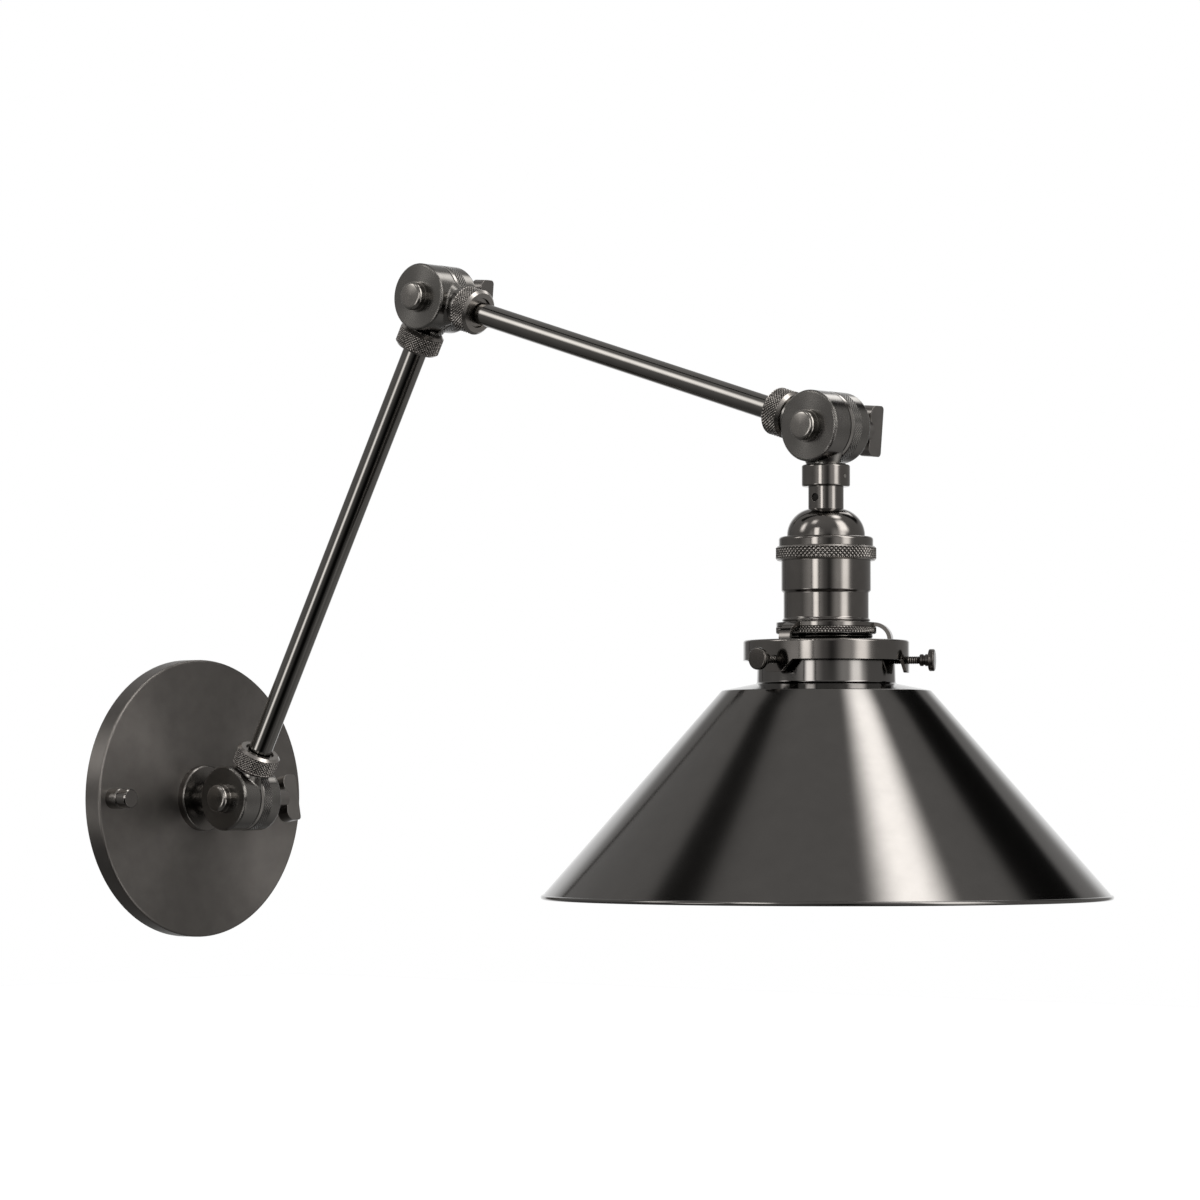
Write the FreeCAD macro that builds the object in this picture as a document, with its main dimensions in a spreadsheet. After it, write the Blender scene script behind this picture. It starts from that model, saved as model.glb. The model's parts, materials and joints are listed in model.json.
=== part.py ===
import FreeCAD, Part
import os
import re

import Sketcher
from FreeCAD import Placement, Rotation, Vector

# An articulating wall lamp: a round wall plate, two arms on three clamped
# knuckles, a keyless lampholder and a cone shade in an open shade holder.
#
# Frame: +Z up, the wall is the plane Y = 0, the lamp reaches out along -Y.
# Each sub-part is drawn in a frame of its own and then placed:
#   wall pieces    about Y, at the plate's centre
#   knuckle pieces pivot at the origin, pivot axis X, neck or arm along +Z
#   head pieces    about Z, heights measured down ("drop") from the head pivot

# Driving sizes: millimetres and degrees.
SIZES = {
    # wall plate, a spun pan with its open side to the wall
    "plate_radius": 62.0,
    "plate_depth": 9.0,
    "plate_wall": 1.5,
    "plate_edge": 0.9,
    # strap inside the pan, screwed to the wall box
    "strap_end_gap": 6.5,
    "strap_width": 18.0,
    "strap_thick": 2.0,
    "strap_corner": 4.0,
    "box_screw_spacing": 88.9,
    "box_screw_hole": 2.4,
    "ground_screw_height": 24.0,
    "ground_screw_radius": 2.0,
    "ground_head_radius": 4.0,
    "ground_head_thick": 2.0,
    "nipple_radius": 4.85,
    "nipple_bore": 3.5,
    "lock_nut_flats": 14.3,
    "lock_nut_thick": 3.0,
    "thread_gap": 0.05,
    # switch on the plate
    "switch_inset": 8.0,
    "switch_body_radius": 5.8,
    "switch_body_length": 5.4,
    "switch_bushing_radius": 3.0,
    "switch_collar_radius": 4.55,
    "switch_collar_length": 6.3,
    "switch_knob_radius": 4.2,
    "switch_knob_length": 5.2,
    "switch_knob_gap": 0.4,
    "switch_shaft_radius": 1.5,
    "switch_edge": 0.5,
    # swivel at the wall
    "wall_pivot_reach": 34.4,
    "wall_collar_radius": 14.6,
    "wall_collar_thick": 3.4,
    "wall_collar_edge": 0.5,
    "wall_socket_depth": 2.0,
    "wall_neck_end": 18.75,
    "stem_radius": 6.5,
    "stem_bore": 4.75,
    "stem_web": 2.0,
    "swivel_screw_radius": 3.45,
    "swivel_screw_bore": 2.4,
    "swivel_head_radius": 4.7,
    "swivel_head_thick": 1.2,
    "swivel_screw_bite": 3.0,
    "running_gap": 0.05,
    # arms, pivot to pivot
    "lower_reach": 245.5,
    "lower_angle": 61.1,
    "upper_reach": 224.8,
    "upper_angle": -17.1,
    "lower_tube_radius": 5.2,
    "upper_tube_radius": 4.75,
    "tube_wall": 1.0,
    "tube_seat": 15.4,
    "wire_radius": 1.1,
    "wire_gap": 0.3,
    # knuckles
    "knuckle_radius": 14.3,
    "knuckle_half_width": 11.47,
    "knuckle_edge": 0.65,
    "knuckle_round": 1.6,
    "near_face": -1.3,
    "far_face": 0.3,
    "face_gap": 0.05,
    "cavity_radius": 9.2,
    "cavity_depth": 4.0,
    "washer_inset": 0.1,
    "neck_radius": 7.95,
    "neck_clear": 0.4,
    "flare_radius": 10.4,
    "flare_start": 9.3,
    "wire_way": 3.6,
    "wire_way_start": 5.0,
    # knuckle bolts and their wing nuts
    "bolt_radius": 3.0,
    "bolt_base_radius": 6.5,
    "bolt_base_thick": 1.4,
    "bolt_cap_radius": 6.1,
    "bolt_cap_height": 5.0,
    "bolt_cap_round": 2.2,
    "bolt_end": 22.0,
    "wing_hub_radius": 5.6,
    "wing_hub_tip": 4.6,
    "wing_start": 24.2,
    "wing_waist": 1.3,
    "wing_end": 32.6,
    "wing_span": 20.6,
    "wing_thick": 6.0,
    "wing_outer_round": 1.6,
    "wing_inner_round": 3.6,
    "wall_wing_turn": -11.0,
    "elbow_wing_turn": 5.0,
    "head_wing_turn": 5.0,
    # knurled nuts that clamp the tube ends
    "lower_nut_start": 14.9,
    "upper_nut_start": 18.0,
    "nut_radius": 9.75,
    "nut_length": 9.2,
    "nut_edge": 1.15,
    "nut_lip": 2.2,
    "nut_mouth": 6.5,
    "spigot_radius": 7.2,
    "spigot_length": 5.8,
    "ferrule_radius": 6.9,
    "ferrule_tip_radius": 6.2,
    "ferrule_step": 1.1,
    "ferrule_length": 2.3,
    # head: drops below the head pivot
    "head_neck_end": 15.2,
    "head_spigot_radius": 5.5,
    "head_spigot_end": 21.0,
    "head_collar_radius": 9.65,
    "head_collar_end": 24.0,
    "head_collar_edge": 0.8,
    "stop_pin_radius": 0.8,
    "stop_pin_drop": 20.0,
    "stop_pin_proud": 0.1,
    "cap_neck_radius": 7.07,
    "cap_neck_top": 21.5,
    "cap_neck_bore": 5.15,
    "cap_web": 2.0,
    "head_screw_head_radius": 5.1,
    "head_screw_head_length": 6.4,
    "head_screw_bite": 5.0,
    "set_screw_radius": 1.6,
    "set_screw_drop": 28.4,
    "set_screw_recess": 0.5,
    "dome_radius": 15.6,
    "dome_round": 10.9,
    "dome_top": 32.6,
    "dome_wall": 1.2,
    "dome_base": 44.0,
    "cap_ring_radius": 18.85,
    "cap_ring_end": 47.7,
    "cap_ring_bore": 11.0,
    "cap_ring_round": 1.2,
    "grip_ring_radius": 20.05,
    "grip_ring_start": 47.8,
    "grip_ring_end": 53.5,
    "grip_ring_edge": 0.7,
    "shell_upper_radius": 17.87,
    "shell_step_start": 65.5,
    "shell_step_end": 66.4,
    "shell_lower_radius": 17.0,
    "shell_bead_start": 76.4,
    "shell_bead_radius": 17.6,
    "shell_bead_end": 78.2,
    "shell_wall": 0.9,
    "skirt_radius": 18.65,
    "skirt_end": 89.0,
    "insulator_gap": 0.1,
    "insulator_top": 50.0,
    "insulator_floor": 56.0,
    "insulator_end": 85.0,
    "screw_shell_radius": 13.95,
    "screw_shell_bore": 13.2,
    "screw_shell_top": 60.0,
    "screw_shell_end": 84.0,
    "contact_recess_radius": 9.0,
    "contact_radius": 4.0,
    "contact_thick": 0.8,
    "contact_rise": 3.0,
    "contact_foot_radius": 2.0,
    "terminal_screw_radius": 1.7,
    "terminal_head_radius": 3.2,
    "terminal_head_thick": 1.6,
    "terminal_spread": 9.0,
    "terminal_bite": 4.0,
    # shade holder
    "holder_plate_radius": 19.9,
    "holder_plate_top": 78.3,
    "holder_plate_thick": 1.6,
    "holder_ring_radius": 20.0,
    "holder_ring_length": 2.8,
    "holder_ring_edge": 0.8,
    "holder_arm_width": 5.5,
    "holder_arm_reach": 26.6,
    "holder_arm_bend": 7.0,
    "band_radius": 33.05,
    "band_top": 85.4,
    "band_end": 93.4,
    "band_wall": 1.3,
    "band_round": 0.9,
    "band_opening": 24.6,
    "tab_root_width": 17.2,
    "tab_tip_width": 7.4,
    "tab_end": 98.4,
    "tab_round": 2.4,
    "shade_screw_radius": 1.6,
    "shade_screw_tip_gap": 0.3,
    "shade_screw_collar_radius": 2.4,
    "shade_screw_collar_start": 37.6,
    "shade_screw_head_radius": 4.4,
    "shade_screw_head_start": 41.2,
    "shade_screw_head_end": 43.6,
    "shade_screw_edge": 0.6,
    # shade
    "shade_neck_radius": 27.25,
    "shade_neck_top": 87.2,
    "shade_neck_end": 103.0,
    "shade_corner_radius": 42.0,
    "shade_corner_drop": 104.8,
    "shade_neck_round": 1.4,
    "shade_corner_round": 0.6,
    "shade_wall": 1.0,
    "rim_radius": 113.6,
    "rim_drop": 187.5,
    "hem_radius": 0.9,
}

# Edges that agree within this length (mm) count as being in one place.
SAME_PLACE = 1e-4

# Places and sizes worked out from those above; a formula may use earlier ones.
LAYOUT = {
    "plate_front": "-plate_depth",
    "strap_length": "2 * (plate_radius - plate_wall - strap_end_gap)",
    "switch_offset": "plate_radius - switch_inset",
    "strap_front": "-strap_thick",
    "wall_pivot_y": "-wall_pivot_reach",
    "wall_collar_front": "plate_front - wall_collar_thick",
    "stem_end": "wall_pivot_reach + wall_collar_front + wall_socket_depth - running_gap",
    "nipple_front": "wall_collar_front + wall_socket_depth + running_gap",
    "swivel_screw_seat": "wall_pivot_y + stem_end - stem_web - running_gap",
    "elbow_y": "wall_pivot_y - lower_reach * cos(lower_angle)",
    "elbow_z": "lower_reach * sin(lower_angle)",
    "head_y": "elbow_y - upper_reach * cos(upper_angle)",
    "head_z": "elbow_z + upper_reach * sin(upper_angle)",
    "lower_tilt": "90 - lower_angle",
    "upper_tilt": "90 - upper_angle",
    "neck_start": "knuckle_radius + neck_clear",
    "washer_radius": "knuckle_radius - washer_inset",
    "washer_bore": "cavity_radius + washer_inset",
    "bolt_hole": "bolt_radius + running_gap",
    "lower_seat": "lower_tube_radius + running_gap",
    "upper_seat": "upper_tube_radius + running_gap",
    "cap_web_end": "cap_neck_top + cap_web",
    "head_screw_head_top": "cap_web_end + running_gap",
    "head_screw_head_end": "head_screw_head_top + head_screw_head_length",
    "holder_ring_top": "holder_plate_top + holder_plate_thick",
    "holder_ring_end": "holder_ring_top + holder_ring_length",
    "holder_plate_bore": "skirt_radius + 2 * thread_gap",
    "tab_angle": "2 * asin(tab_root_width / 2 / band_radius)",
    "shade_screw_tip": "shade_neck_radius + shade_screw_tip_gap",
    "shade_slope": "atan((rim_radius - shade_corner_radius) / (rim_drop - shade_corner_drop))",
    "shade_side_inset": "shade_wall / cos(shade_slope)",
    "shade_corner_inset": "shade_side_inset - shade_wall * tan(shade_slope)",
}

doc = FreeCAD.newDocument("wall_lamp")
sheet = doc.addObject("Spreadsheet::Sheet", "Sizes")
parts = []


def fill_sheet():
    """Write every size and every formula into the sheet under its own alias."""
    row = 0
    for alias, number in SIZES.items():
        row += 1
        sheet.set(f"A{row}", alias)
        sheet.set(f"B{row}", str(number))
        sheet.setAlias(f"B{row}", alias)
    for alias, formula in LAYOUT.items():
        row += 1
        sheet.set(f"A{row}", alias)
        sheet.set(f"B{row}", f"={formula}")
        sheet.setAlias(f"B{row}", alias)
    doc.recompute()


def size(alias):
    """The present number behind an alias."""
    return float(sheet.get(alias))


def cell(formula):
    """The formula with each alias written as the sheet's cell."""

    def named(word):
        known = word.group(0) in SIZES or word.group(0) in LAYOUT
        return f"Sizes.{word.group(0)}" if known else word.group(0)

    return re.sub(r"[a-z_]+", named, formula)


def bind(thing, **formulas):
    """Tie properties of an object to formulas over the sheet."""
    for name, formula in formulas.items():
        thing.setExpression(name, cell(formula))


# ---------------------------------------------------------------- drawing


def new_body(label):
    body = doc.addObject("PartDesign::Body", label)
    body.Label = label
    parts.append(body)
    return body


def origin_plane(body, role):
    return next(plane for plane in body.Origin.OriginFeatures if plane.Role == role)


def origin_line(body, role):
    return next(line for line in body.Origin.OriginFeatures if line.Role == role)


def new_sketch(body, plane, lift="0"):
    """A sketch on one of the body's origin planes, lifted along its normal."""
    sketch = body.newObject("Sketcher::SketchObject", f"{body.Label}_sketch")
    sketch.AttachmentSupport = [(origin_plane(body, plane), "")]
    sketch.MapMode = "FlatFace"
    sketch.setExpression(".AttachmentOffset.Base.z", cell(lift))
    return sketch


def fix_point(sketch, geometry, end, across, up):
    """Hold a point of a sketch at (across, up), each a formula."""
    for kind, formula in (("DistanceX", across), ("DistanceY", up)):
        index = sketch.addConstraint(Sketcher.Constraint(kind, -1, 1, geometry, end, 1.0))
        sketch.setExpression(f"Constraints[{index}]", cell(formula))


def draw_outline(sketch, points):
    """A closed outline of straight sides through points given as formulas."""
    first = sketch.GeometryCount
    count = len(points)
    spread = [Vector(1, 0, 0)]
    for _ in range(count - 1):
        spread.append(Rotation(Vector(0, 0, 1), 360 / count).multVec(spread[-1]))
    for side in range(count):
        line = Part.LineSegment(spread[side], spread[(side + 1) % count])
        sketch.addGeometry(line, False)
    for side in range(count):
        after = first + (side + 1) % count
        sketch.addConstraint(Sketcher.Constraint("Coincident", first + side, 2, after, 1))
    for side, (across, up) in enumerate(points):
        fix_point(sketch, first + side, 1, across, up)


def draw_circle(sketch, across, up, radius):
    index = sketch.addGeometry(Part.Circle(Vector(0, 0, 0), Vector(0, 0, 1), 1.0), False)
    fix_point(sketch, index, 3, across, up)
    held = sketch.addConstraint(Sketcher.Constraint("Radius", index, 1.0))
    sketch.setExpression(f"Constraints[{held}]", cell(radius))


# About each axis a lathe profile is drawn as (radius, height) on one plane.
LATHE = {"X": ("XY_Plane", "H_Axis"), "Y": ("XY_Plane", "V_Axis"), "Z": ("XZ_Plane", "V_Axis")}


def turn(body, axis, profile, remove=False):
    """Add, or cut away, what the (radius, height) profile sweeps about an axis."""
    plane, line = LATHE[axis]
    sketch = new_sketch(body, plane)
    points = [(up, out) if axis == "X" else (out, up) for out, up in profile]
    draw_outline(sketch, points)
    kind = "PartDesign::Groove" if remove else "PartDesign::Revolution"
    feature = body.newObject(kind, f"{body.Label}_turned")
    feature.Profile = sketch
    feature.ReferenceAxis = (sketch, [line])
    feature.Angle = 360
    doc.recompute()
    return feature


def turned(label, axis, profile):
    body = new_body(label)
    turn(body, axis, profile)
    return body


def ring(bore, radius, low, high):
    """The profile of a plain ring."""
    return [(bore, low), (radius, low), (radius, high), (bore, high)]


def rod(radius, low, high):
    return ring("0", radius, low, high)


def pad(body, sketch, length, both_ways=False, reverse=False):
    feature = body.newObject("PartDesign::Pad", f"{body.Label}_pad")
    feature.Profile = sketch
    bind(feature, Length=length)
    feature.Midplane = both_ways
    feature.Reversed = reverse
    doc.recompute()
    return feature


def cut_through(body, sketch, reach, both_ways=True, reverse=False):
    """A pocket that reaches so far; it stops the build if it takes nothing away."""
    before = body.Shape.Volume
    feature = body.newObject("PartDesign::Pocket", f"{body.Label}_cut")
    feature.Profile = sketch
    bind(feature, Length=f"2 * ({reach})" if both_ways else reach)
    feature.Midplane = both_ways
    feature.Reversed = reverse
    doc.recompute()
    if not body.Shape.Volume < before:
        raise ValueError(f"{body.Label}: a pocket cut nothing")
    return feature


def circles_at(shape, axis, place, radius):
    """Names of the full circles about an axis at a place along it."""
    found = []
    for number, edge in enumerate(shape.Edges, 1):
        curve = edge.Curve
        if not isinstance(curve, Part.Circle) or abs(curve.Radius - radius) > SAME_PLACE:
            continue
        if abs(getattr(curve.Center, axis.lower()) - place) < SAME_PLACE:
            found.append(f"Edge{number}")
    return found


def edge_work(body, kind, names, amount):
    """A fillet or chamfer over named edges of the body's last feature."""
    base = body.Tip
    if not names:
        raise ValueError(f"{body.Label}: no edge for a {kind}")
    feature = body.newObject(f"PartDesign::{kind}", f"{body.Label}_{kind.lower()}")
    feature.Base = (base, names)
    bind(feature, **{"Radius" if kind == "Fillet" else "Size": amount})
    doc.recompute()
    return feature


def soften(body, kind, axis, edges, amount):
    """Work the circular edges given as (radius, place) aliases or numbers."""
    names = []
    for radius, place in edges:
        names += circles_at(body.Shape, axis, place, radius)
    edge_work(body, kind, names, amount)


def place(body, y="0", z="0", tilt="0", x="0"):
    """Move a part's frame to a point and tip it about X."""
    body.Placement = Placement(Vector(0, 0, 0), Rotation(Vector(1, 0, 0), 1))
    body.setExpression(".Placement.Rotation.Angle", cell(tilt))
    body.setExpression(".Placement.Base.x", cell(x))
    body.setExpression(".Placement.Base.y", cell(y))
    body.setExpression(".Placement.Base.z", cell(z))


def spin(body, around, height):
    """Turn a head piece about the head's axis, with its frame at a height."""
    body.Placement = Placement(Vector(0, 0, 0), Rotation(Vector(0, 0, 1), around))
    body.setExpression(".Placement.Base.y", cell("head_y"))
    body.setExpression(".Placement.Base.z", cell(height))


def at_wall(body, tilt="0"):
    place(body, "wall_pivot_y", "0", tilt)


def at_elbow(body, tilt="0"):
    place(body, "elbow_y", "elbow_z", tilt)


def at_head(body, tilt="0"):
    place(body, "head_y", "head_z", tilt)


# ---------------------------------------------------------------- wall plate


def wall_plate():
    body = turned(
        "wall_plate",
        "Y",
        [
            ("plate_radius - plate_wall", "0"),
            ("plate_radius", "0"),
            ("plate_radius", "plate_front"),
            ("nipple_radius + thread_gap", "plate_front"),
            ("nipple_radius + thread_gap", "plate_front + plate_wall"),
            ("plate_radius - plate_wall", "plate_front + plate_wall"),
        ],
    )
    soften(body, "Fillet", "Y", [(size("plate_radius"), size("plate_front"))], "plate_edge")
    sketch = new_sketch(body, "XZ_Plane", "-plate_front")
    draw_circle(sketch, "-switch_offset", "0", "switch_bushing_radius + thread_gap")
    cut_through(body, sketch, "plate_wall")
    place(body)


def mounting_strap():
    body = new_body("mounting_strap")
    half_width = "strap_width / 2"
    half_length = "strap_length / 2"
    outline = new_sketch(body, "XZ_Plane")
    draw_outline(
        outline,
        [
            (f"-{half_width}", f"-{half_length}"),
            (half_width, f"-{half_length}"),
            (half_width, half_length),
            (f"-{half_width}", half_length),
        ],
    )
    pad(body, outline, "strap_thick")
    holes = new_sketch(body, "XZ_Plane")
    draw_circle(holes, "0", "0", "nipple_radius + thread_gap")
    draw_circle(holes, "0", "ground_screw_height", "ground_screw_radius + thread_gap")
    for sign in ("", "-"):
        draw_circle(holes, "0", f"{sign}box_screw_spacing / 2", "box_screw_hole")
    cut_through(body, holes, "strap_thick")
    corners = [
        f"Edge{number}"
        for number, edge in enumerate(body.Shape.Edges, 1)
        if len(edge.Vertexes) == 2
        and edge.BoundBox.XLength < SAME_PLACE
        and edge.BoundBox.ZLength < SAME_PLACE
    ]
    edge_work(body, "Fillet", corners, "strap_corner")
    place(body)


def ground_screw():
    front = "strap_front"
    head = f"{front} - ground_head_thick"
    body = turned(
        "ground_screw",
        "Y",
        [
            ("0", "0"),
            ("ground_screw_radius", "0"),
            ("ground_screw_radius", front),
            ("ground_head_radius", front),
            ("ground_head_radius", head),
            ("0", head),
        ],
    )
    place(body, z="ground_screw_height")


def mounting_nipple():
    body = turned(
        "mounting_nipple",
        "Y",
        ring("nipple_bore", "nipple_radius", "0", "nipple_front"),
    )
    place(body)


def nipple_lock_nut():
    body = new_body("nipple_lock_nut")
    sketch = new_sketch(body, "XZ_Plane", "-strap_front")
    corner = "lock_nut_flats / 2 / cos(30)"
    draw_outline(
        sketch,
        [(f"{corner} * cos({60 * side})", f"{corner} * sin({60 * side})") for side in range(6)],
    )
    pad(body, sketch, "lock_nut_thick")
    bore = new_sketch(body, "XZ_Plane", "-strap_front")
    draw_circle(bore, "0", "0", "nipple_radius + thread_gap")
    cut_through(body, bore, "lock_nut_thick")
    place(body)


def wall_collar():
    front = "wall_collar_front"
    seat = f"{front} + wall_socket_depth"
    body = turned(
        "wall_collar",
        "Y",
        [
            ("nipple_radius + thread_gap", "plate_front"),
            ("wall_collar_radius", "plate_front"),
            ("wall_collar_radius", front),
            ("stem_radius + running_gap", front),
            ("stem_radius + running_gap", seat),
            ("nipple_radius + thread_gap", seat),
        ],
    )
    soften(body, "Chamfer", "Y", [(size("wall_collar_radius"), size(front))], "wall_collar_edge")
    place(body)


def wall_swivel_screw():
    """Hollow screw that holds the stem to the nipple and lets it turn."""
    seat = "swivel_screw_seat"
    body = turned(
        "wall_swivel_screw",
        "Y",
        [
            ("swivel_screw_bore", f"{seat} - swivel_head_thick"),
            ("swivel_head_radius", f"{seat} - swivel_head_thick"),
            ("swivel_head_radius", seat),
            ("swivel_screw_radius", seat),
            ("swivel_screw_radius", "nipple_front + swivel_screw_bite"),
            ("swivel_screw_bore", "nipple_front + swivel_screw_bite"),
        ],
    )
    place(body)


# ---------------------------------------------------------------- switch


def switch_pieces():
    back = "plate_front + plate_wall"
    collar_front = "plate_front - switch_collar_length"
    knob_back = f"{collar_front} - switch_knob_gap"
    knob_front = f"{knob_back} - switch_knob_length"

    case = turned(
        "switch_body",
        "Y",
        rod("switch_body_radius", back, f"{back} + switch_body_length"),
    )
    bushing = turned(
        "switch_bushing",
        "Y",
        ring("switch_shaft_radius + running_gap", "switch_bushing_radius", back, collar_front),
    )
    collar = turned(
        "switch_collar",
        "Y",
        ring("switch_bushing_radius + thread_gap", "switch_collar_radius", "plate_front", collar_front),
    )
    outer = (size("switch_collar_radius"), size("plate_front") - size("switch_collar_length"))
    soften(collar, "Chamfer", "Y", [outer], "switch_edge")
    knob = turned(
        "switch_knob",
        "Y",
        [
            ("0", f"{back} - face_gap"),
            ("switch_shaft_radius", f"{back} - face_gap"),
            ("switch_shaft_radius", knob_back),
            ("switch_knob_radius", knob_back),
            ("switch_knob_radius", knob_front),
            ("0", knob_front),
        ],
    )
    front = outer[1] - size("switch_knob_gap") - size("switch_knob_length")
    soften(knob, "Chamfer", "Y", [(size("switch_knob_radius"), front)], "switch_edge")
    for piece in (case, bushing, collar, knob):
        place(piece, x="-switch_offset")


# ---------------------------------------------------------------- knuckles


def knuckle_half(label, far, neck_profile, bore_profile):
    """One half of a knuckle: a thick disc, flared into a neck along +Z.

    The far half lies on the wing nut's side (+X), the near half under the
    bolt's head (-X). Both necks stand on the middle plane, so each is cut
    away below neck_start where the other half turns.
    """
    face, outer = ("far_face", "knuckle_half_width") if far else ("near_face", "-knuckle_half_width")
    inward = "1" if far else "-1"
    cavity = f"{face} + {inward} * cavity_depth"
    body = new_body(label)
    turn(
        body,
        "X",
        [
            ("bolt_hole", cavity),
            ("cavity_radius", cavity),
            ("cavity_radius", face),
            ("knuckle_radius", face),
            ("knuckle_radius", outer),
            ("bolt_hole", outer),
        ],
    )
    radius = size("knuckle_radius")
    soften(body, "Chamfer", "X", [(radius, size(face))], "knuckle_edge")
    if far:
        soften(body, "Fillet", "X", [(radius, size("knuckle_half_width"))], "knuckle_round")
    else:
        soften(body, "Chamfer", "X", [(radius, -size("knuckle_half_width"))], "knuckle_edge")
    turn(
        body,
        "Z",
        [("wire_way", "flare_start"), ("flare_radius", "flare_start"), ("neck_radius", "neck_start")]
        + neck_profile
        + [("wire_way", neck_profile[-1][1])],
    )
    clearing = new_sketch(body, "XZ_Plane")
    beyond = f"-{inward} * knuckle_half_width"
    draw_outline(
        clearing,
        [
            (face, "-knuckle_radius"),
            (face, "neck_start"),
            (beyond, "neck_start"),
            (beyond, "-knuckle_radius"),
        ],
    )
    cut_through(body, clearing, "knuckle_radius")
    turn(body, "Z", bore_profile, remove=True)
    return body


def tube_socket(nut_start, seat):
    """Neck and bore of a knuckle half that takes a tube in a knurled nut."""
    spigot_end = f"{nut_start} + spigot_length"
    neck = [("neck_radius", nut_start), ("spigot_radius", nut_start), ("spigot_radius", spigot_end)]
    bore = [
        ("0", "wire_way_start"),
        ("wire_way", "wire_way_start"),
        ("wire_way", "tube_seat"),
        (seat, "tube_seat"),
        (seat, spigot_end),
        ("0", spigot_end),
    ]
    return neck, bore


def wall_knuckle():
    neck = [("neck_radius", "wall_neck_end"), ("stem_radius", "wall_neck_end"), ("stem_radius", "stem_end")]
    bore = [
        ("0", "wire_way_start"),
        ("wire_way", "wire_way_start"),
        ("wire_way", "neck_start"),
        ("stem_bore", "neck_start"),
        ("stem_bore", "stem_end - stem_web"),
        ("swivel_screw_radius + running_gap", "stem_end - stem_web"),
        ("swivel_screw_radius + running_gap", "stem_end"),
        ("0", "stem_end"),
    ]
    at_wall(knuckle_half("wall_knuckle_stem", True, neck, bore), "-90")
    neck, bore = tube_socket("lower_nut_start", "lower_seat")
    at_wall(knuckle_half("wall_knuckle_arm", False, neck, bore), "lower_tilt")


def elbow_knuckle():
    neck, bore = tube_socket("lower_nut_start", "lower_seat")
    at_elbow(knuckle_half("elbow_knuckle_lower", True, neck, bore), "lower_tilt + 180")
    neck, bore = tube_socket("upper_nut_start", "upper_seat")
    at_elbow(knuckle_half("elbow_knuckle_upper", False, neck, bore), "upper_tilt")


def head_knuckle():
    neck, bore = tube_socket("upper_nut_start", "upper_seat")
    at_head(knuckle_half("head_knuckle_arm", True, neck, bore), "upper_tilt + 180")
    neck = [
        ("neck_radius", "head_neck_end"),
        ("head_spigot_radius", "head_neck_end"),
        ("head_spigot_radius", "head_spigot_end"),
    ]
    bore = [
        ("0", "wire_way_start"),
        ("swivel_screw_radius", "wire_way_start"),
        ("swivel_screw_radius", "head_spigot_end"),
        ("0", "head_spigot_end"),
    ]
    at_head(knuckle_half("head_knuckle_holder", False, neck, bore), "180")


def knuckle_fittings(name, put):
    """The bolt, friction washer and wing nut of one knuckle."""
    seat = "-knuckle_half_width - face_gap"
    base_end = f"{seat} - bolt_base_thick"
    cap_end = f"{seat} - bolt_cap_height"
    bolt = turned(
        f"{name}_bolt",
        "X",
        [
            ("0", "bolt_end"),
            ("bolt_radius", "bolt_end"),
            ("bolt_radius", seat),
            ("bolt_base_radius", seat),
            ("bolt_base_radius", base_end),
            ("bolt_cap_radius", base_end),
            ("bolt_cap_radius", cap_end),
            ("0", cap_end),
        ],
    )
    end = -size("knuckle_half_width") - size("face_gap") - size("bolt_cap_height")
    soften(bolt, "Fillet", "X", [(size("bolt_cap_radius"), end)], "bolt_cap_round")
    put(bolt)
    washer = turned(
        f"{name}_friction_washer",
        "X",
        ring("washer_bore", "washer_radius", "near_face + face_gap", "far_face"),
    )
    put(washer)
    put(wing_nut(f"{name}_wing_nut"), f"{name}_wing_turn")


def wing_nut(label):
    """A blind hub with a thick flat wing across its end, waisted at the hub."""
    hub_start = "knuckle_half_width + face_gap"
    half_span = "wing_span / 2"
    body = new_body(label)
    outline = new_sketch(body, "XZ_Plane")
    draw_outline(
        outline,
        [
            ("wing_start", f"-{half_span}"),
            ("wing_end", f"-{half_span}"),
            ("wing_end", half_span),
            ("wing_start", half_span),
            ("wing_start + wing_waist", "0"),
        ],
    )
    pad(body, outline, "wing_thick", both_ways=True)
    for corner_x, amount in (("wing_end", "wing_outer_round"), ("wing_start", "wing_inner_round")):
        corners = [
            f"Edge{number}"
            for number, edge in enumerate(body.Shape.Edges, 1)
            if edge.BoundBox.XLength < SAME_PLACE
            and edge.BoundBox.ZLength < SAME_PLACE
            and abs(edge.Vertexes[0].X - size(corner_x)) < SAME_PLACE
        ]
        edge_work(body, "Fillet", corners, amount)
    turn(
        body,
        "X",
        [
            ("0", hub_start),
            ("wing_hub_radius", hub_start),
            ("wing_hub_tip", "wing_start + wing_waist"),
            ("0", "wing_start + wing_waist"),
        ],
    )
    turn(body, "X", rod("bolt_radius + thread_gap", "0", "bolt_end + thread_gap"), remove=True)
    return body


# ---------------------------------------------------------------- arms


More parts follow.
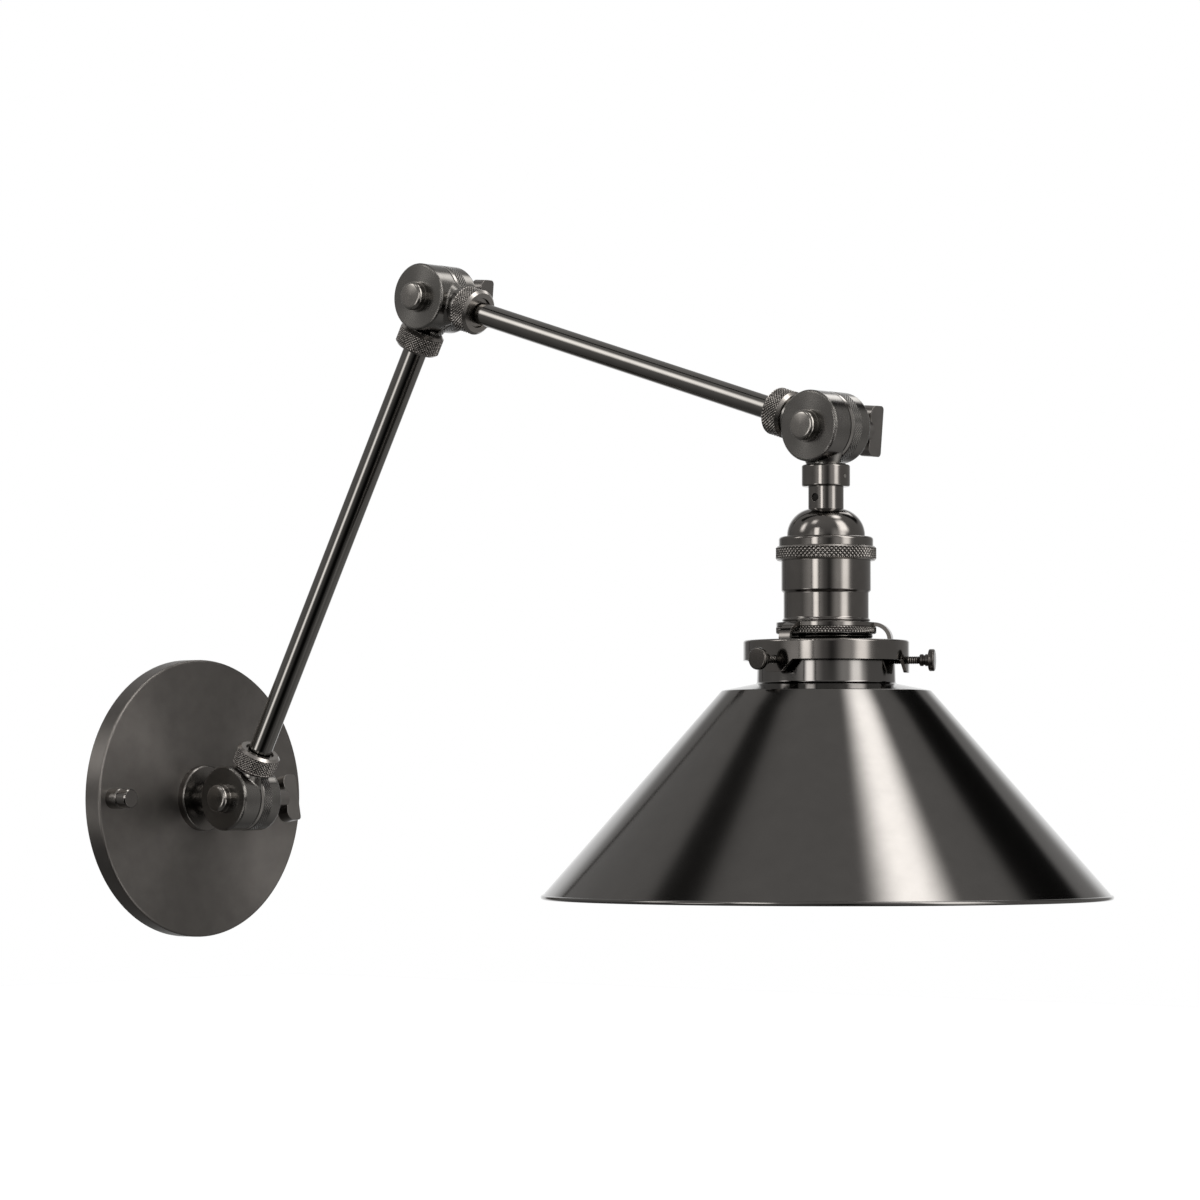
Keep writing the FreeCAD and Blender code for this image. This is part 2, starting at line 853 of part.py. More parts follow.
def clamp_nut(label, nut_start, seat):
    """A knurled nut and the ferrule that it presses on the tube."""
    start = f"{nut_start} + face_gap"
    end = f"{nut_start} + nut_length"
    thread = "spigot_radius + thread_gap"
    nut = turned(
        label,
        "Z",
        [
            (thread, start),
            ("nut_radius", start),
            ("nut_radius", end),
            ("nut_mouth", end),
            ("nut_mouth", f"{end} - nut_lip"),
            (thread, f"{end} - nut_lip"),
        ],
    )
    rims = [size(nut_start) + size("face_gap"), size(nut_start) + size("nut_length")]
    soften(nut, "Chamfer", "Z", [(size("nut_radius"), rim) for rim in rims], "nut_edge")
    ferrule_start = f"{nut_start} + spigot_length + face_gap"
    ferrule = turned(
        label.replace("nut", "ferrule"),
        "Z",
        [
            (seat, ferrule_start),
            ("ferrule_radius", ferrule_start),
            ("ferrule_radius", f"{ferrule_start} + ferrule_step"),
            ("ferrule_tip_radius", f"{ferrule_start} + ferrule_step"),
            ("ferrule_tip_radius", f"{ferrule_start} + ferrule_length"),
            (seat, f"{ferrule_start} + ferrule_length"),
        ],
    )
    return nut, ferrule


def tube_and_wires(name, reach, radius, put, tilt):
    """A tube between two knuckles and the two wires inside it."""
    tube = turned(
        f"{name}_tube",
        "Z",
        ring(f"{radius} - tube_wall", radius, "tube_seat", f"{reach} - tube_seat"),
    )
    put(tube, tilt)
    wires = new_body(f"{name}_wires")
    wires.AllowCompound = True
    spread = f"{radius} - tube_wall - wire_gap - wire_radius"
    for sign in ("", "-"):
        sketch = new_sketch(wires, "XY_Plane", "tube_seat")
        draw_circle(sketch, f"{sign}({spread})", "0", "wire_radius")
        pad(wires, sketch, f"{reach} - 2 * tube_seat")
    put(wires, tilt)


def lower_arm():
    tube_and_wires("lower_arm", "lower_reach", "lower_tube_radius", at_wall, "lower_tilt")
    for piece in clamp_nut("lower_wall_nut", "lower_nut_start", "lower_seat"):
        at_wall(piece, "lower_tilt")
    for piece in clamp_nut("lower_elbow_nut", "lower_nut_start", "lower_seat"):
        at_elbow(piece, "lower_tilt + 180")


def upper_arm():
    tube_and_wires("upper_arm", "upper_reach", "upper_tube_radius", at_elbow, "upper_tilt")
    for piece in clamp_nut("upper_elbow_nut", "upper_nut_start", "upper_seat"):
        at_elbow(piece, "upper_tilt")
    for piece in clamp_nut("upper_head_nut", "upper_nut_start", "upper_seat"):
        at_head(piece, "upper_tilt + 180")


# ---------------------------------------------------------------- lampholder


def down(profile):
    """A profile given with drops, turned into heights."""
    return [(radius, f"-({drop})") for radius, drop in profile]


def head_turned(label, profile):
    return turned(label, "Z", down(profile))


def radial_pin(body, radius, drop, start, end, around):
    """A cylinder that lies along a radius of the head, turned about Z from +X."""
    sketch = new_sketch(body, "YZ_Plane", start)
    draw_circle(sketch, "0", f"-({drop})", radius)
    pad(body, sketch, f"{end} - ({start})")
    spin(body, around, "head_z")


def head_swivel():
    collar = head_turned(
        "head_collar",
        [
            ("head_spigot_radius + thread_gap", "head_neck_end"),
            ("head_collar_radius", "head_neck_end"),
            ("head_collar_radius", "head_collar_end"),
            ("cap_neck_radius + running_gap", "head_collar_end"),
            ("cap_neck_radius + running_gap", "cap_neck_top - running_gap"),
            ("head_spigot_radius + thread_gap", "cap_neck_top - running_gap"),
        ],
    )
    rims = [(size("head_collar_radius"), -size(end)) for end in ("head_neck_end", "head_collar_end")]
    soften(collar, "Fillet", "Z", rims, "head_collar_edge")
    at_head(collar)
    hole = new_sketch(collar, "XZ_Plane")
    draw_circle(hole, "0", "-stop_pin_drop", "stop_pin_radius + thread_gap")
    cut_through(collar, hole, "head_collar_radius", both_ways=False, reverse=True)
    pin = new_body("head_stop_pin")
    radial_pin(
        pin,
        "stop_pin_radius",
        "stop_pin_drop",
        "head_spigot_radius + 2 * thread_gap",
        "head_collar_radius + stop_pin_proud",
        -90,
    )
    screw = head_turned(
        "head_swivel_screw",
        [
            ("swivel_screw_bore", "head_spigot_end - head_screw_bite"),
            ("swivel_screw_radius - thread_gap", "head_spigot_end - head_screw_bite"),
            ("swivel_screw_radius - thread_gap", "head_screw_head_top"),
            ("head_screw_head_radius", "head_screw_head_top"),
            ("head_screw_head_radius", "head_screw_head_end"),
            ("swivel_screw_bore", "head_screw_head_end"),
        ],
    )
    at_head(screw)


def socket_cap():
    inside = "dome_radius - dome_wall"
    ceiling = "dome_top + dome_wall"
    cap = head_turned(
        "socket_cap",
        [
            ("0", "dome_top"),
            ("dome_radius", "dome_top"),
            ("dome_radius", "dome_base"),
            (inside, "dome_base"),
            (inside, ceiling),
            ("0", ceiling),
        ],
    )
    radius, top, wall = size("dome_radius"), -size("dome_top"), size("dome_wall")
    soften(cap, "Fillet", "Z", [(radius - wall, top - wall)], "dome_round - dome_wall")
    soften(cap, "Fillet", "Z", [(radius, top)], "dome_round")
    turn(cap, "Z", down(rod("cap_neck_radius", "cap_neck_top", ceiling)))
    turn(
        cap,
        "Z",
        down(
            [
                ("0", "cap_neck_top"),
                ("swivel_screw_radius", "cap_neck_top"),
                ("swivel_screw_radius", "cap_web_end"),
                ("cap_neck_bore", "cap_web_end"),
                ("cap_neck_bore", "dome_base"),
                ("0", "dome_base"),
            ]
        ),
        remove=True,
    )
    hole = new_sketch(cap, "YZ_Plane")
    draw_circle(hole, "0", "-set_screw_drop", "set_screw_radius + thread_gap")
    cut_through(cap, hole, "cap_neck_radius", both_ways=False)
    at_head(cap)
    screw = new_body("socket_set_screw")
    radial_pin(
        screw,
        "set_screw_radius",
        "set_screw_drop",
        "head_screw_head_radius + running_gap",
        "cap_neck_radius - set_screw_recess",
        180,
    )


def socket_rings():
    cap_ring = head_turned(
        "socket_cap_ring",
        ring("cap_ring_bore", "cap_ring_radius", "dome_base", "cap_ring_end"),
    )
    rim = (size("cap_ring_radius"), -size("dome_base"))
    soften(cap_ring, "Fillet", "Z", [rim], "cap_ring_round")
    at_head(cap_ring)
    grip = head_turned(
        "socket_grip_ring",
        ring("shell_upper_radius + thread_gap", "grip_ring_radius", "grip_ring_start", "grip_ring_end"),
    )
    rims = [(size("grip_ring_radius"), -size(end)) for end in ("grip_ring_start", "grip_ring_end")]
    soften(grip, "Chamfer", "Z", rims, "grip_ring_edge")
    at_head(grip)


def socket_shell():
    inside = "shell_lower_radius - shell_wall"
    body = head_turned(
        "socket_shell",
        [
            (inside, "grip_ring_start"),
            ("shell_upper_radius", "grip_ring_start"),
            ("shell_upper_radius", "shell_step_start"),
            ("shell_lower_radius", "shell_step_end"),
            ("shell_lower_radius", "shell_bead_start"),
            ("shell_bead_radius", "shell_bead_start"),
            ("shell_bead_radius", "shell_bead_end"),
            ("skirt_radius", "shell_bead_end"),
            ("skirt_radius", "skirt_end"),
            (inside, "skirt_end"),
        ],
    )
    at_head(body)


def lamp_contacts():
    inside = "shell_lower_radius - shell_wall - insulator_gap"
    insulator = head_turned(
        "socket_insulator",
        [
            ("0", "insulator_top"),
            (inside, "insulator_top"),
            (inside, "insulator_end"),
            ("screw_shell_radius + insulator_gap", "insulator_end"),
            ("screw_shell_radius + insulator_gap", "screw_shell_top"),
            ("contact_recess_radius", "screw_shell_top"),
            ("contact_recess_radius", "insulator_floor"),
            ("0", "insulator_floor"),
        ],
    )
    screws_way = new_sketch(insulator, "XY_Plane", "-insulator_top")
    for sign in ("", "-"):
        draw_circle(screws_way, f"{sign}terminal_spread", "0", "terminal_screw_radius + thread_gap")
    cut_through(insulator, screws_way, "terminal_bite")
    at_head(insulator)
    screw_shell = head_turned(
        "lamp_screw_shell",
        ring("screw_shell_bore", "screw_shell_radius", "screw_shell_top", "screw_shell_end"),
    )
    at_head(screw_shell)
    contact = head_turned(
        "lamp_centre_contact",
        [
            ("0", "insulator_floor"),
            ("contact_foot_radius", "insulator_floor"),
            ("contact_foot_radius", "insulator_floor + contact_rise"),
            ("contact_radius", "insulator_floor + contact_rise"),
            ("contact_radius", "insulator_floor + contact_rise + contact_thick"),
            ("0", "insulator_floor + contact_rise + contact_thick"),
        ],
    )
    at_head(contact)
    screws = new_body("terminal_screws")
    screws.AllowCompound = True
    for sign in ("", "-"):
        across = f"{sign}terminal_spread"
        shank = new_sketch(screws, "XY_Plane", "-insulator_top - terminal_bite + thread_gap")
        draw_circle(shank, across, "0", "terminal_screw_radius")
        pad(screws, shank, "terminal_bite")
        head = new_sketch(screws, "XY_Plane", "-insulator_top")
        draw_circle(head, across, "0", "terminal_head_radius")
        pad(screws, head, "terminal_head_thick")
    at_head(screws)


# ---------------------------------------------------------------- shade holder

# The three arms, tabs and screws stand this far round from +X.
HOLDER_PLACES = {"left": 180, "front": -60, "back": 60}


def holder_ring():
    body = head_turned(
        "holder_ring",
        ring("skirt_radius + thread_gap", "holder_ring_radius", "holder_ring_top", "holder_ring_end"),
    )
    rims = [(size("holder_ring_radius"), -size(end)) for end in ("holder_ring_top", "holder_ring_end")]
    soften(body, "Fillet", "Z", rims, "holder_ring_edge")
    at_head(body)


def holder_strip(body):
    """A bent strip from the hub plate out and down to the band, towards -X."""
    inner = "holder_arm_reach - holder_plate_thick"
    bottom = "band_top + band_wall / 2"
    sketch = new_sketch(body, "XZ_Plane")
    outline = [
        ("holder_plate_bore", "holder_plate_top"),
        ("holder_arm_reach", "holder_plate_top"),
        ("holder_arm_reach", bottom),
        (inner, bottom),
        (inner, "holder_ring_top"),
        ("holder_plate_bore", "holder_ring_top"),
    ]
    draw_outline(sketch, [(f"-({out})", f"-({drop})") for out, drop in outline])
    return pad(body, sketch, "holder_arm_width", both_ways=True)


def holder_tab(body):
    """A tab that carries the band down under a thumb screw, towards -X."""
    sketch = new_sketch(body, "XZ_Plane")
    outline = ring("band_radius - band_wall", "band_radius", "band_end", "tab_end")
    draw_outline(sketch, [(f"-({out})", f"-({drop})") for out, drop in outline])
    feature = body.newObject("PartDesign::Revolution", "tab_turned")
    feature.Profile = sketch
    feature.ReferenceAxis = (sketch, ["V_Axis"])
    bind(feature, Angle="tab_angle")
    feature.Midplane = True
    doc.recompute()
    return feature


def holder_tab_cuts(body):
    """The thumb screw's hole and the slopes that narrow the tab, towards -X."""
    sketch = new_sketch(body, "YZ_Plane")
    draw_circle(sketch, "0", "-band_end", "shade_screw_radius + thread_gap")
    for sign in ("", "-"):
        draw_outline(
            sketch,
            [
                (f"{sign}tab_root_width / 2", "-band_end"),
                (f"{sign}tab_root_width", "-band_end"),
                (f"{sign}tab_root_width", "-tab_end"),
                (f"{sign}tab_tip_width / 2", "-tab_end"),
            ],
        )
    return cut_through(body, sketch, "band_radius", both_ways=False)


def in_thirds(body, features):
    """Repeat features at the holder's three places."""
    pattern = body.newObject("PartDesign::PolarPattern", "thirds")
    pattern.Originals = features
    pattern.Axis = (origin_line(body, "Z_Axis"), [""])
    pattern.Angle = 360
    pattern.Occurrences = len(HOLDER_PLACES)
    body.Tip = pattern
    doc.recompute()


def shade_holder():
    """Hub plate, three strips, band and three tabs in one pressing."""
    body = head_turned(
        "shade_holder",
        [
            ("band_opening", "band_top"),
            ("band_radius", "band_top"),
            ("band_radius", "band_end"),
            ("band_radius - band_wall", "band_end"),
            ("band_radius - band_wall", "band_top + band_wall"),
            ("band_opening", "band_top + band_wall"),
        ],
    )
    soften(body, "Fillet", "Z", [(size("band_radius"), -size("band_top"))], "band_round")
    strip = holder_strip(body)
    plate = ring("holder_plate_bore", "holder_plate_radius", "holder_plate_top", "holder_ring_top")
    turn(body, "Z", down(plate))
    in_thirds(body, [strip, holder_tab(body)])
    in_thirds(body, [holder_tab_cuts(body)])
    top = -size("holder_plate_top")
    under = -size("holder_ring_top")
    reach = size("holder_arm_reach")
    inner = reach - size("holder_plate_thick")
    edge_work(body, "Fillet", level_edges(body.Shape, top, reach), "holder_arm_bend")
    edge_work(body, "Fillet", level_edges(body.Shape, under, inner), "holder_arm_bend - holder_plate_thick")
    tips = [
        f"Edge{number}"
        for number, edge in enumerate(body.Shape.Edges, 1)
        if isinstance(edge.Curve, Part.Line) and abs(edge.BoundBox.ZMax + size("tab_end")) < SAME_PLACE
    ]
    edge_work(body, "Fillet", tips, "tab_round")
    at_head(body)


def level_edges(shape, height, reach):
    """Straight level edges at a height whose middle is this far from the axis."""
    found = []
    for number, edge in enumerate(shape.Edges, 1):
        if not isinstance(edge.Curve, Part.Line) or edge.BoundBox.ZLength > SAME_PLACE:
            continue
        middle = edge.CenterOfMass
        away = Vector(middle.x, middle.y, 0).Length
        if abs(middle.z - height) < SAME_PLACE and abs(away - reach) < SAME_PLACE:
            found.append(f"Edge{number}")
    return found


def shade_screw(side, around):
    """A thumb screw in the band; its axis is a radius of the head."""
    body = turned(
        f"shade_screw_{side}",
        "X",
        [
            ("0", "shade_screw_tip"),
            ("shade_screw_radius", "shade_screw_tip"),
            ("shade_screw_radius", "shade_screw_collar_start"),
            ("shade_screw_collar_radius", "shade_screw_collar_start"),
            ("shade_screw_collar_radius", "shade_screw_head_start"),
            ("shade_screw_head_radius", "shade_screw_head_start"),
            ("shade_screw_head_radius", "shade_screw_head_end"),
            ("0", "shade_screw_head_end"),
        ],
    )
    radius = size("shade_screw_head_radius")
    rims = [(radius, size(f"shade_screw_head_{end}")) for end in ("start", "end")]
    soften(body, "Fillet", "X", rims, "shade_screw_edge")
    spin(body, around, "head_z - band_end")


def shade():
    side_inset = "shade_side_inset"
    body = head_turned(
        "shade",
        [
            ("shade_neck_radius - shade_wall", "shade_neck_top"),
            ("shade_neck_radius", "shade_neck_top"),
            ("shade_neck_radius", "shade_neck_end"),
            ("shade_corner_radius", "shade_corner_drop"),
            ("rim_radius", "rim_drop"),
            (f"rim_radius - {side_inset}", "rim_drop"),
            ("shade_corner_radius - shade_corner_inset", "shade_corner_drop + shade_wall"),
            ("shade_neck_radius - shade_wall", "shade_neck_end + shade_wall"),
        ],
    )
    wall = size("shade_wall")
    neck = size("shade_neck_radius")
    soften(body, "Fillet", "Z", [(neck, -size("shade_neck_end"))], "shade_neck_round")
    neck_inside = (neck - wall, -size("shade_neck_end") - wall)
    soften(body, "Fillet", "Z", [neck_inside], "shade_neck_round + shade_wall")
    corner = size("shade_corner_radius")
    inner = corner - size("shade_corner_inset")
    soften(body, "Fillet", "Z", [(corner, -size("shade_corner_drop"))], "shade_corner_round + shade_wall")
    soften(body, "Fillet", "Z", [(inner, -size("shade_corner_drop") - wall)], "shade_corner_round")
    hem = new_sketch(body, "XZ_Plane")
    draw_circle(hem, f"rim_radius - {side_inset} / 2", "-rim_drop", "hem_radius")
    rolled = body.newObject("PartDesign::Revolution", "shade_hem")
    rolled.Profile = hem
    rolled.ReferenceAxis = (hem, ["V_Axis"])
    rolled.Angle = 360
    doc.recompute()
    at_head(body)


# ---------------------------------------------------------------- the lamp


def build_lamp():
    fill_sheet()
    wall_plate()
    mounting_strap()
    ground_screw()
    mounting_nipple()
    nipple_lock_nut()
    wall_collar()
    wall_swivel_screw()
    switch_pieces()
    wall_knuckle()
    elbow_knuckle()
    head_knuckle()
    for name, put in (("wall", at_wall), ("elbow", at_elbow), ("head", at_head)):
        knuckle_fittings(name, put)
    lower_arm()
    upper_arm()
    head_swivel()
    socket_cap()
    socket_rings()
    socket_shell()
    lamp_contacts()
    holder_ring()
    shade_holder()
    for side, around in HOLDER_PLACES.items():
        shade_screw(side, around)
    shade()
    doc.recompute()


def check_objects():
    """Stop before anything is written if any object is in a bad state."""
    for thing in doc.Objects:
        if "Invalid" in thing.State or "Error" in thing.State:
            raise ValueError(f"{thing.Name}: {thing.State}")
    for part in parts:
        if part.Shape.isNull() or not part.Shape.isValid() or not part.Shape.Solids:
            raise ValueError(f"{part.Label}: bad shape")


def write_parts():
    os.makedirs("parts", exist_ok=True)
    for part in parts:
        part.Shape.exportStep(f"parts/{part.Label}.step")


build_lamp()
check_objects()
write_parts()
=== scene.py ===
import json
import math

import bpy
from mathutils import Matrix, Vector


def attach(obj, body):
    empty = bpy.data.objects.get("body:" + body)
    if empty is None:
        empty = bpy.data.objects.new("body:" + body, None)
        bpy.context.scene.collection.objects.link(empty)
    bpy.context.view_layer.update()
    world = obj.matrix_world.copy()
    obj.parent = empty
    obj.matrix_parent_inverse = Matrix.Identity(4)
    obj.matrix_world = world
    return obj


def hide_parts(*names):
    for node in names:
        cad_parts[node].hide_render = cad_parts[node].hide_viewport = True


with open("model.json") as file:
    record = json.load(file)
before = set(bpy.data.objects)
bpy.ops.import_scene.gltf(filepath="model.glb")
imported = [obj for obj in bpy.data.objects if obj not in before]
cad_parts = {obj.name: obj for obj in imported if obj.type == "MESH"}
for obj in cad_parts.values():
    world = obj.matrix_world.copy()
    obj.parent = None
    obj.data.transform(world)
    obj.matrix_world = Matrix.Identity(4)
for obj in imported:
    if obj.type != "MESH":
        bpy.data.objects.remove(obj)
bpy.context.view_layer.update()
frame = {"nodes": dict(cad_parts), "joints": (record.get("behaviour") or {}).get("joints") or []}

MM = 0.001
SIDEWAYS = Vector((1, 0, 0))
OUTWARD = Vector((0, -1, 0))
UPWARD = Vector((0, 0, 1))

joints = {joint["name"]: joint for joint in frame["joints"]}
plate_middle = Vector((0, 0, 0))
wall_pivot = Vector(joints["wall_tilt"]["pos_m"])
elbow_pivot = Vector(joints["elbow_tilt"]["pos_m"])
head_pivot = Vector(joints["head_tilt"]["pos_m"])
PIVOTS = {"wall": wall_pivot, "elbow": elbow_pivot, "head": head_pivot}
lower_line = Vector(joints["lower_arm_twist"]["axis"])
upper_line = Vector(joints["upper_arm_twist"]["axis"])


# ------------------------------------------------------------------ shader nodes


def colour(hexes):
    """Linear colour of an sRGB hex string."""
    out = []
    for start in (0, 2, 4):
        value = int(hexes[start : start + 2], 16) / 255
        out.append(value / 12.92 if value <= 0.04045 else ((value + 0.055) / 1.055) ** 2.4)
    return (*out, 1.0)


def node(tree, kind, links=None, **settings):
    """Add a shader node with its settings and its inputs, each a value or a link.

    A node given as an input stands for that node's first output.
    """
    made = tree.nodes.new("ShaderNode" + kind)
    for key, value in settings.items():
        setattr(made, key, value)
    for socket, source in (links or {}).items():
        if isinstance(source, bpy.types.Node):
            source = source.outputs[0]
        if isinstance(source, bpy.types.NodeSocket):
            tree.links.new(source, made.inputs[socket])
        else:
            made.inputs[socket].default_value = source
    return made


def new_material(name):
    material = bpy.data.materials.new(name)
    material.use_nodes = True
    material.node_tree.nodes.clear()
    return material, material.node_tree


def product(tree, *factors):
    """All the factors multiplied together."""
    result = factors[0]
    for factor in factors[1:]:
        result = node(tree, "Math", {0: result, 1: factor}, operation="MULTIPLY")
    return result


def rest_of_one(tree, share):
    """What a share leaves of one."""
    return node(tree, "Math", {0: 1.0, 1: share}, operation="SUBTRACT")


def length_along(tree, place, axis):
    """How far a place lies along an axis."""
    return node(tree, "VectorMath", {0: place, 1: axis}, operation="DOT_PRODUCT").outputs["Value"]


def away_from(tree, value, middle):
    """Distance of a value from a middle one."""
    offset = node(tree, "Math", {0: value, 1: middle}, operation="SUBTRACT")
    return node(tree, "Math", {0: offset}, operation="ABSOLUTE")


def about_axis(tree, place, point, axis):
    """Offset of a place from a point, and its distances along an axis and away from it."""
    offset = node(tree, "VectorMath", {0: place, 1: point}, operation="SUBTRACT")
    run = length_along(tree, offset, axis)
    full = node(tree, "VectorMath", {0: offset}, operation="LENGTH").outputs["Value"]
    square = node(
        tree,
        "Math",
        {0: product(tree, full, full), 1: product(tree, run, run)},
        operation="SUBTRACT",
    )
    above_zero = node(tree, "Math", {0: square, 1: 0.0}, operation="MAXIMUM")
    away = node(tree, "Math", {0: above_zero}, operation="SQRT")
    return offset, run, away


def round_grain(tree, offset, axis):
    """World direction of the turning marks about an axis at each point."""
    across = node(tree, "VectorMath", {0: axis, 1: offset}, operation="CROSS_PRODUCT")
    world = node(
        tree,
        "VectorTransform",
        {0: across},
        vector_type="VECTOR",
        convert_from="OBJECT",
        convert_to="WORLD",
    )
    return node(tree, "VectorMath", {0: world}, operation="NORMALIZE")


def patchy(tree, patches, tone, share):
    """A tone that is lighter and darker by a share of it in faint patches."""
    base = colour(tone)
    mixed = node(tree, "ValToRGB", {0: patches})
    dark, light = mixed.color_ramp.elements
    dark.position = 0.3
    dark.color = [part * (1 - share) for part in base[:3]] + [1.0]
    light.position = 0.7
    light.color = [min(1.0, part * (1 + share)) for part in base[:3]] + [1.0]
    return mixed


# ------------------------------------------------------------------ kinds of surface

# A knurl like these usually has about 1.2 mm from crest to crest. The nuts'
# and the grip ring's are drawn coarser, so that their diamonds still show.
KNURL_SPACING = 1.35
GRIP_KNURL_SPACING = 1.8
HOLDER_KNURL_SPACING = 1.3
KNURL_DEPTH = 0.4
FINE_KNURL_DEPTH = 0.2
THREAD_ROOT_SHADE_DEPTH = 0.25

# shares: the tone that painted shade leaves in a groove's root, the tone that a
# fine knurl's grooves lose to painted shade, and the part of the spacing over which
# the side of a fine groove rises
PAINTED_GROOVE_SHADE_LEFT = 0.06
FINE_GROOVE_SHADE = 0.85
FINE_GROOVE_SIDE = 0.3


def crossed_marks(tree, offset, run, axis, radius, spacing):
    """1 on the diamonds and 0 in the grooves of a knurl about an axis, sizes in millimetres."""
    side = Vector(axis).orthogonal().normalized()
    over = Vector(axis).cross(side)
    angle = node(
        tree,
        "Math",
        {0: length_along(tree, offset, over), 1: length_along(tree, offset, side)},
        operation="ARCTAN2",
    )
    count = round(2 * math.pi * radius / spacing)
    turns = product(tree, angle, count / (2 * math.pi))
    lifts = node(tree, "Math", {0: run, 1: spacing * MM}, operation="DIVIDE")
    crests = []
    for lean in ("ADD", "SUBTRACT"):
        leaning = node(tree, "Math", {0: turns, 1: lifts}, operation=lean)
        crests.append(node(tree, "Math", {0: leaning, 1: 0.5}, operation="PINGPONG"))
    crest = node(tree, "Math", {0: crests[0], 1: crests[1]}, operation="MINIMUM")
    return node(tree, "MapRange", {"Value": crest, "From Min": 0.0, "From Max": FINE_GROOVE_SIDE})


def finely_knurled(tree, plating, bump, offset, run, away, axis, knurled):
    """The plating with painted shade in a fine knurled band's grooves, and the bump with the grooves in
    it.

    knurled is the band's (start, end, radius) in millimetres.
    """
    first, last, radius = knurled
    diamonds = crossed_marks(tree, offset, run, axis, radius, KNURL_SPACING)
    soft_end = 0.1
    middle, half = (first + last) / 2 * MM, (last - first) / 2 * MM
    on_band = node(
        tree,
        "MapRange",
        {"Value": away_from(tree, run, middle), "From Min": half + soft_end * MM, "From Max": half},
    )
    # the band's own side, and not the end faces inside it
    on_side = node(tree, "Math", {0: away, 1: radius * 0.97 * MM}, operation="GREATER_THAN")
    # painted shade: the plating is darker in the fine knurl's grooves
    hollow = product(tree, rest_of_one(tree, diamonds), product(tree, on_band, on_side))
    kept = rest_of_one(tree, product(tree, hollow, FINE_GROOVE_SHADE))
    shaded = node(tree, "VectorMath", {0: plating, "Scale": kept}, operation="SCALE")
    cut = node(
        tree,
        "Bump",
        {
            "Height": node(tree, "Math", {0: 0.0, 1: hollow}, operation="SUBTRACT"),
            "Strength": 1.0,
            "Distance": FINE_KNURL_DEPTH * MM,
            "Normal": bump,
        },
    )
    return shaded, cut


def metal(
    name,
    tone,
    rough,
    point,
    axis,
    grain=0.0,
    line=0.35,
    line_depth=0.004,
    edge=0.0,
    mottle=8.0,
    mottle_share=0.07,
    rough_share=0.18,
    groove=0.0,
    knurled=None,
):
    """A plated metal turned, spun or drawn about an axis.

    tone is the plating's colour and rough its roughness; grain is how far the
    turning marks stretch a highlight; line is the spacing of the marks and
    line_depth their depth, edge the rounding that buffing left on corners and
    mottle the size of the faint uneven patches, all four in millimetres.
    groove is the depth at which the painted shade in a cut groove's root is full;
    knurled is the (start, end, radius) of a fine knurled band, in millimetres.
    """
    material, tree = new_material(name)
    place = node(tree, "TexCoord").outputs["Object"]
    offset, run, away = about_axis(tree, place, tuple(point), tuple(axis))
    # fine turning marks: noise that changes along the axis and outwards only
    marks = node(
        tree,
        "TexNoise",
        {
            "Vector": node(tree, "CombineXYZ", {"X": run, "Y": away}),
            "Scale": 1 / (line * MM),
            "Detail": 3.0,
            "Roughness": 0.65,
        },
    )
    patches = node(
        tree,
        "TexNoise",
        {"Vector": place, "Scale": 1 / (mottle * MM), "Detail": 5.0, "Roughness": 0.6},
    )
    # the roughness follows the marks a little more than the patches
    unevenness = node(
        tree,
        "Math",
        {0: product(tree, marks, 0.6), 1: product(tree, patches, 0.4)},
        operation="ADD",
    )
    roughness = node(
        tree,
        "MapRange",
        {"Value": unevenness, "To Min": rough * (1 - rough_share), "To Max": rough * (1 + rough_share)},
    )
    plating = patchy(tree, patches, tone, mottle_share)
    bump = node(tree, "Bump", {"Height": marks, "Strength": 0.5, "Distance": line_depth * MM})
    if edge:
        rounded = node(tree, "Bevel", {"Radius": edge * MM}, samples=4)
        tree.links.new(rounded.outputs[0], bump.inputs["Normal"])
    # painted shade: the plating is darker the deeper the relief sinks, darkest in each groove's root
    if groove:
        sunk = node(tree, "Attribute", attribute_name="sunk").outputs["Fac"]
        unshaded_share = node(
            tree,
            "MapRange",
            {"Value": sunk, "From Min": 0.0, "From Max": groove, "To Min": 1.0, "To Max": PAINTED_GROOVE_SHADE_LEFT},
        )
        plating = node(tree, "VectorMath", {0: plating, "Scale": unshaded_share}, operation="SCALE")
    if knurled:
        plating, bump = finely_knurled(tree, plating, bump, offset, run, away, axis, knurled)
    shader = node(
        tree,
        "BsdfPrincipled",
        {"Base Color": plating, "Metallic": 1.0, "Roughness": roughness, "Normal": bump},
    )
    if grain:
        shader.inputs["Anisotropic"].default_value = grain
        # highlights stretch across the marks, a quarter turn from them
        shader.inputs["Anisotropic Rotation"].default_value = 0.25
        tree.links.new(round_grain(tree, offset, tuple(axis)).outputs[0], shader.inputs["Tangent"])
    node(tree, "OutputMaterial", {"Surface": shader})
    return material


def moulded(name, tone, rough, coat=0.0):
    """A non-metal with faint uneven patches about 3 mm across."""
    material, tree = new_material(name)
    place = node(tree, "TexCoord").outputs["Object"]
    patches = node(tree, "TexNoise", {"Vector": place, "Scale": 1 / (3.0 * MM), "Detail": 4.0})
    roughness = node(
        tree,
        "MapRange",
        {"Value": patches, "To Min": rough * 0.85, "To Max": rough * 1.15},
    )
    shader = node(
        tree,
        "BsdfPrincipled",
        {
            "Base Color": patchy(tree, patches, tone, 0.08),
            "Roughness": roughness,
            "Coat Weight": coat,
            "Normal": node(tree, "Bump", {"Height": patches, "Strength": 0.4, "Distance": 0.01 * MM}),
        },
    )
    node(tree, "OutputMaterial", {"Surface": shader})
    return material


# ------------------------------------------------------------------ turned shapes

# a turned solid stops this far short of its axis, so that its section stays a ring
NEAR_AXIS = 0.02
# two faces that meet at more than this angle keep a sharp edge between them
SHARP_ANGLE = 32.0
# above 1, a cut knurl's diamonds have flat tops
KNURL_STEEPNESS = 1.6


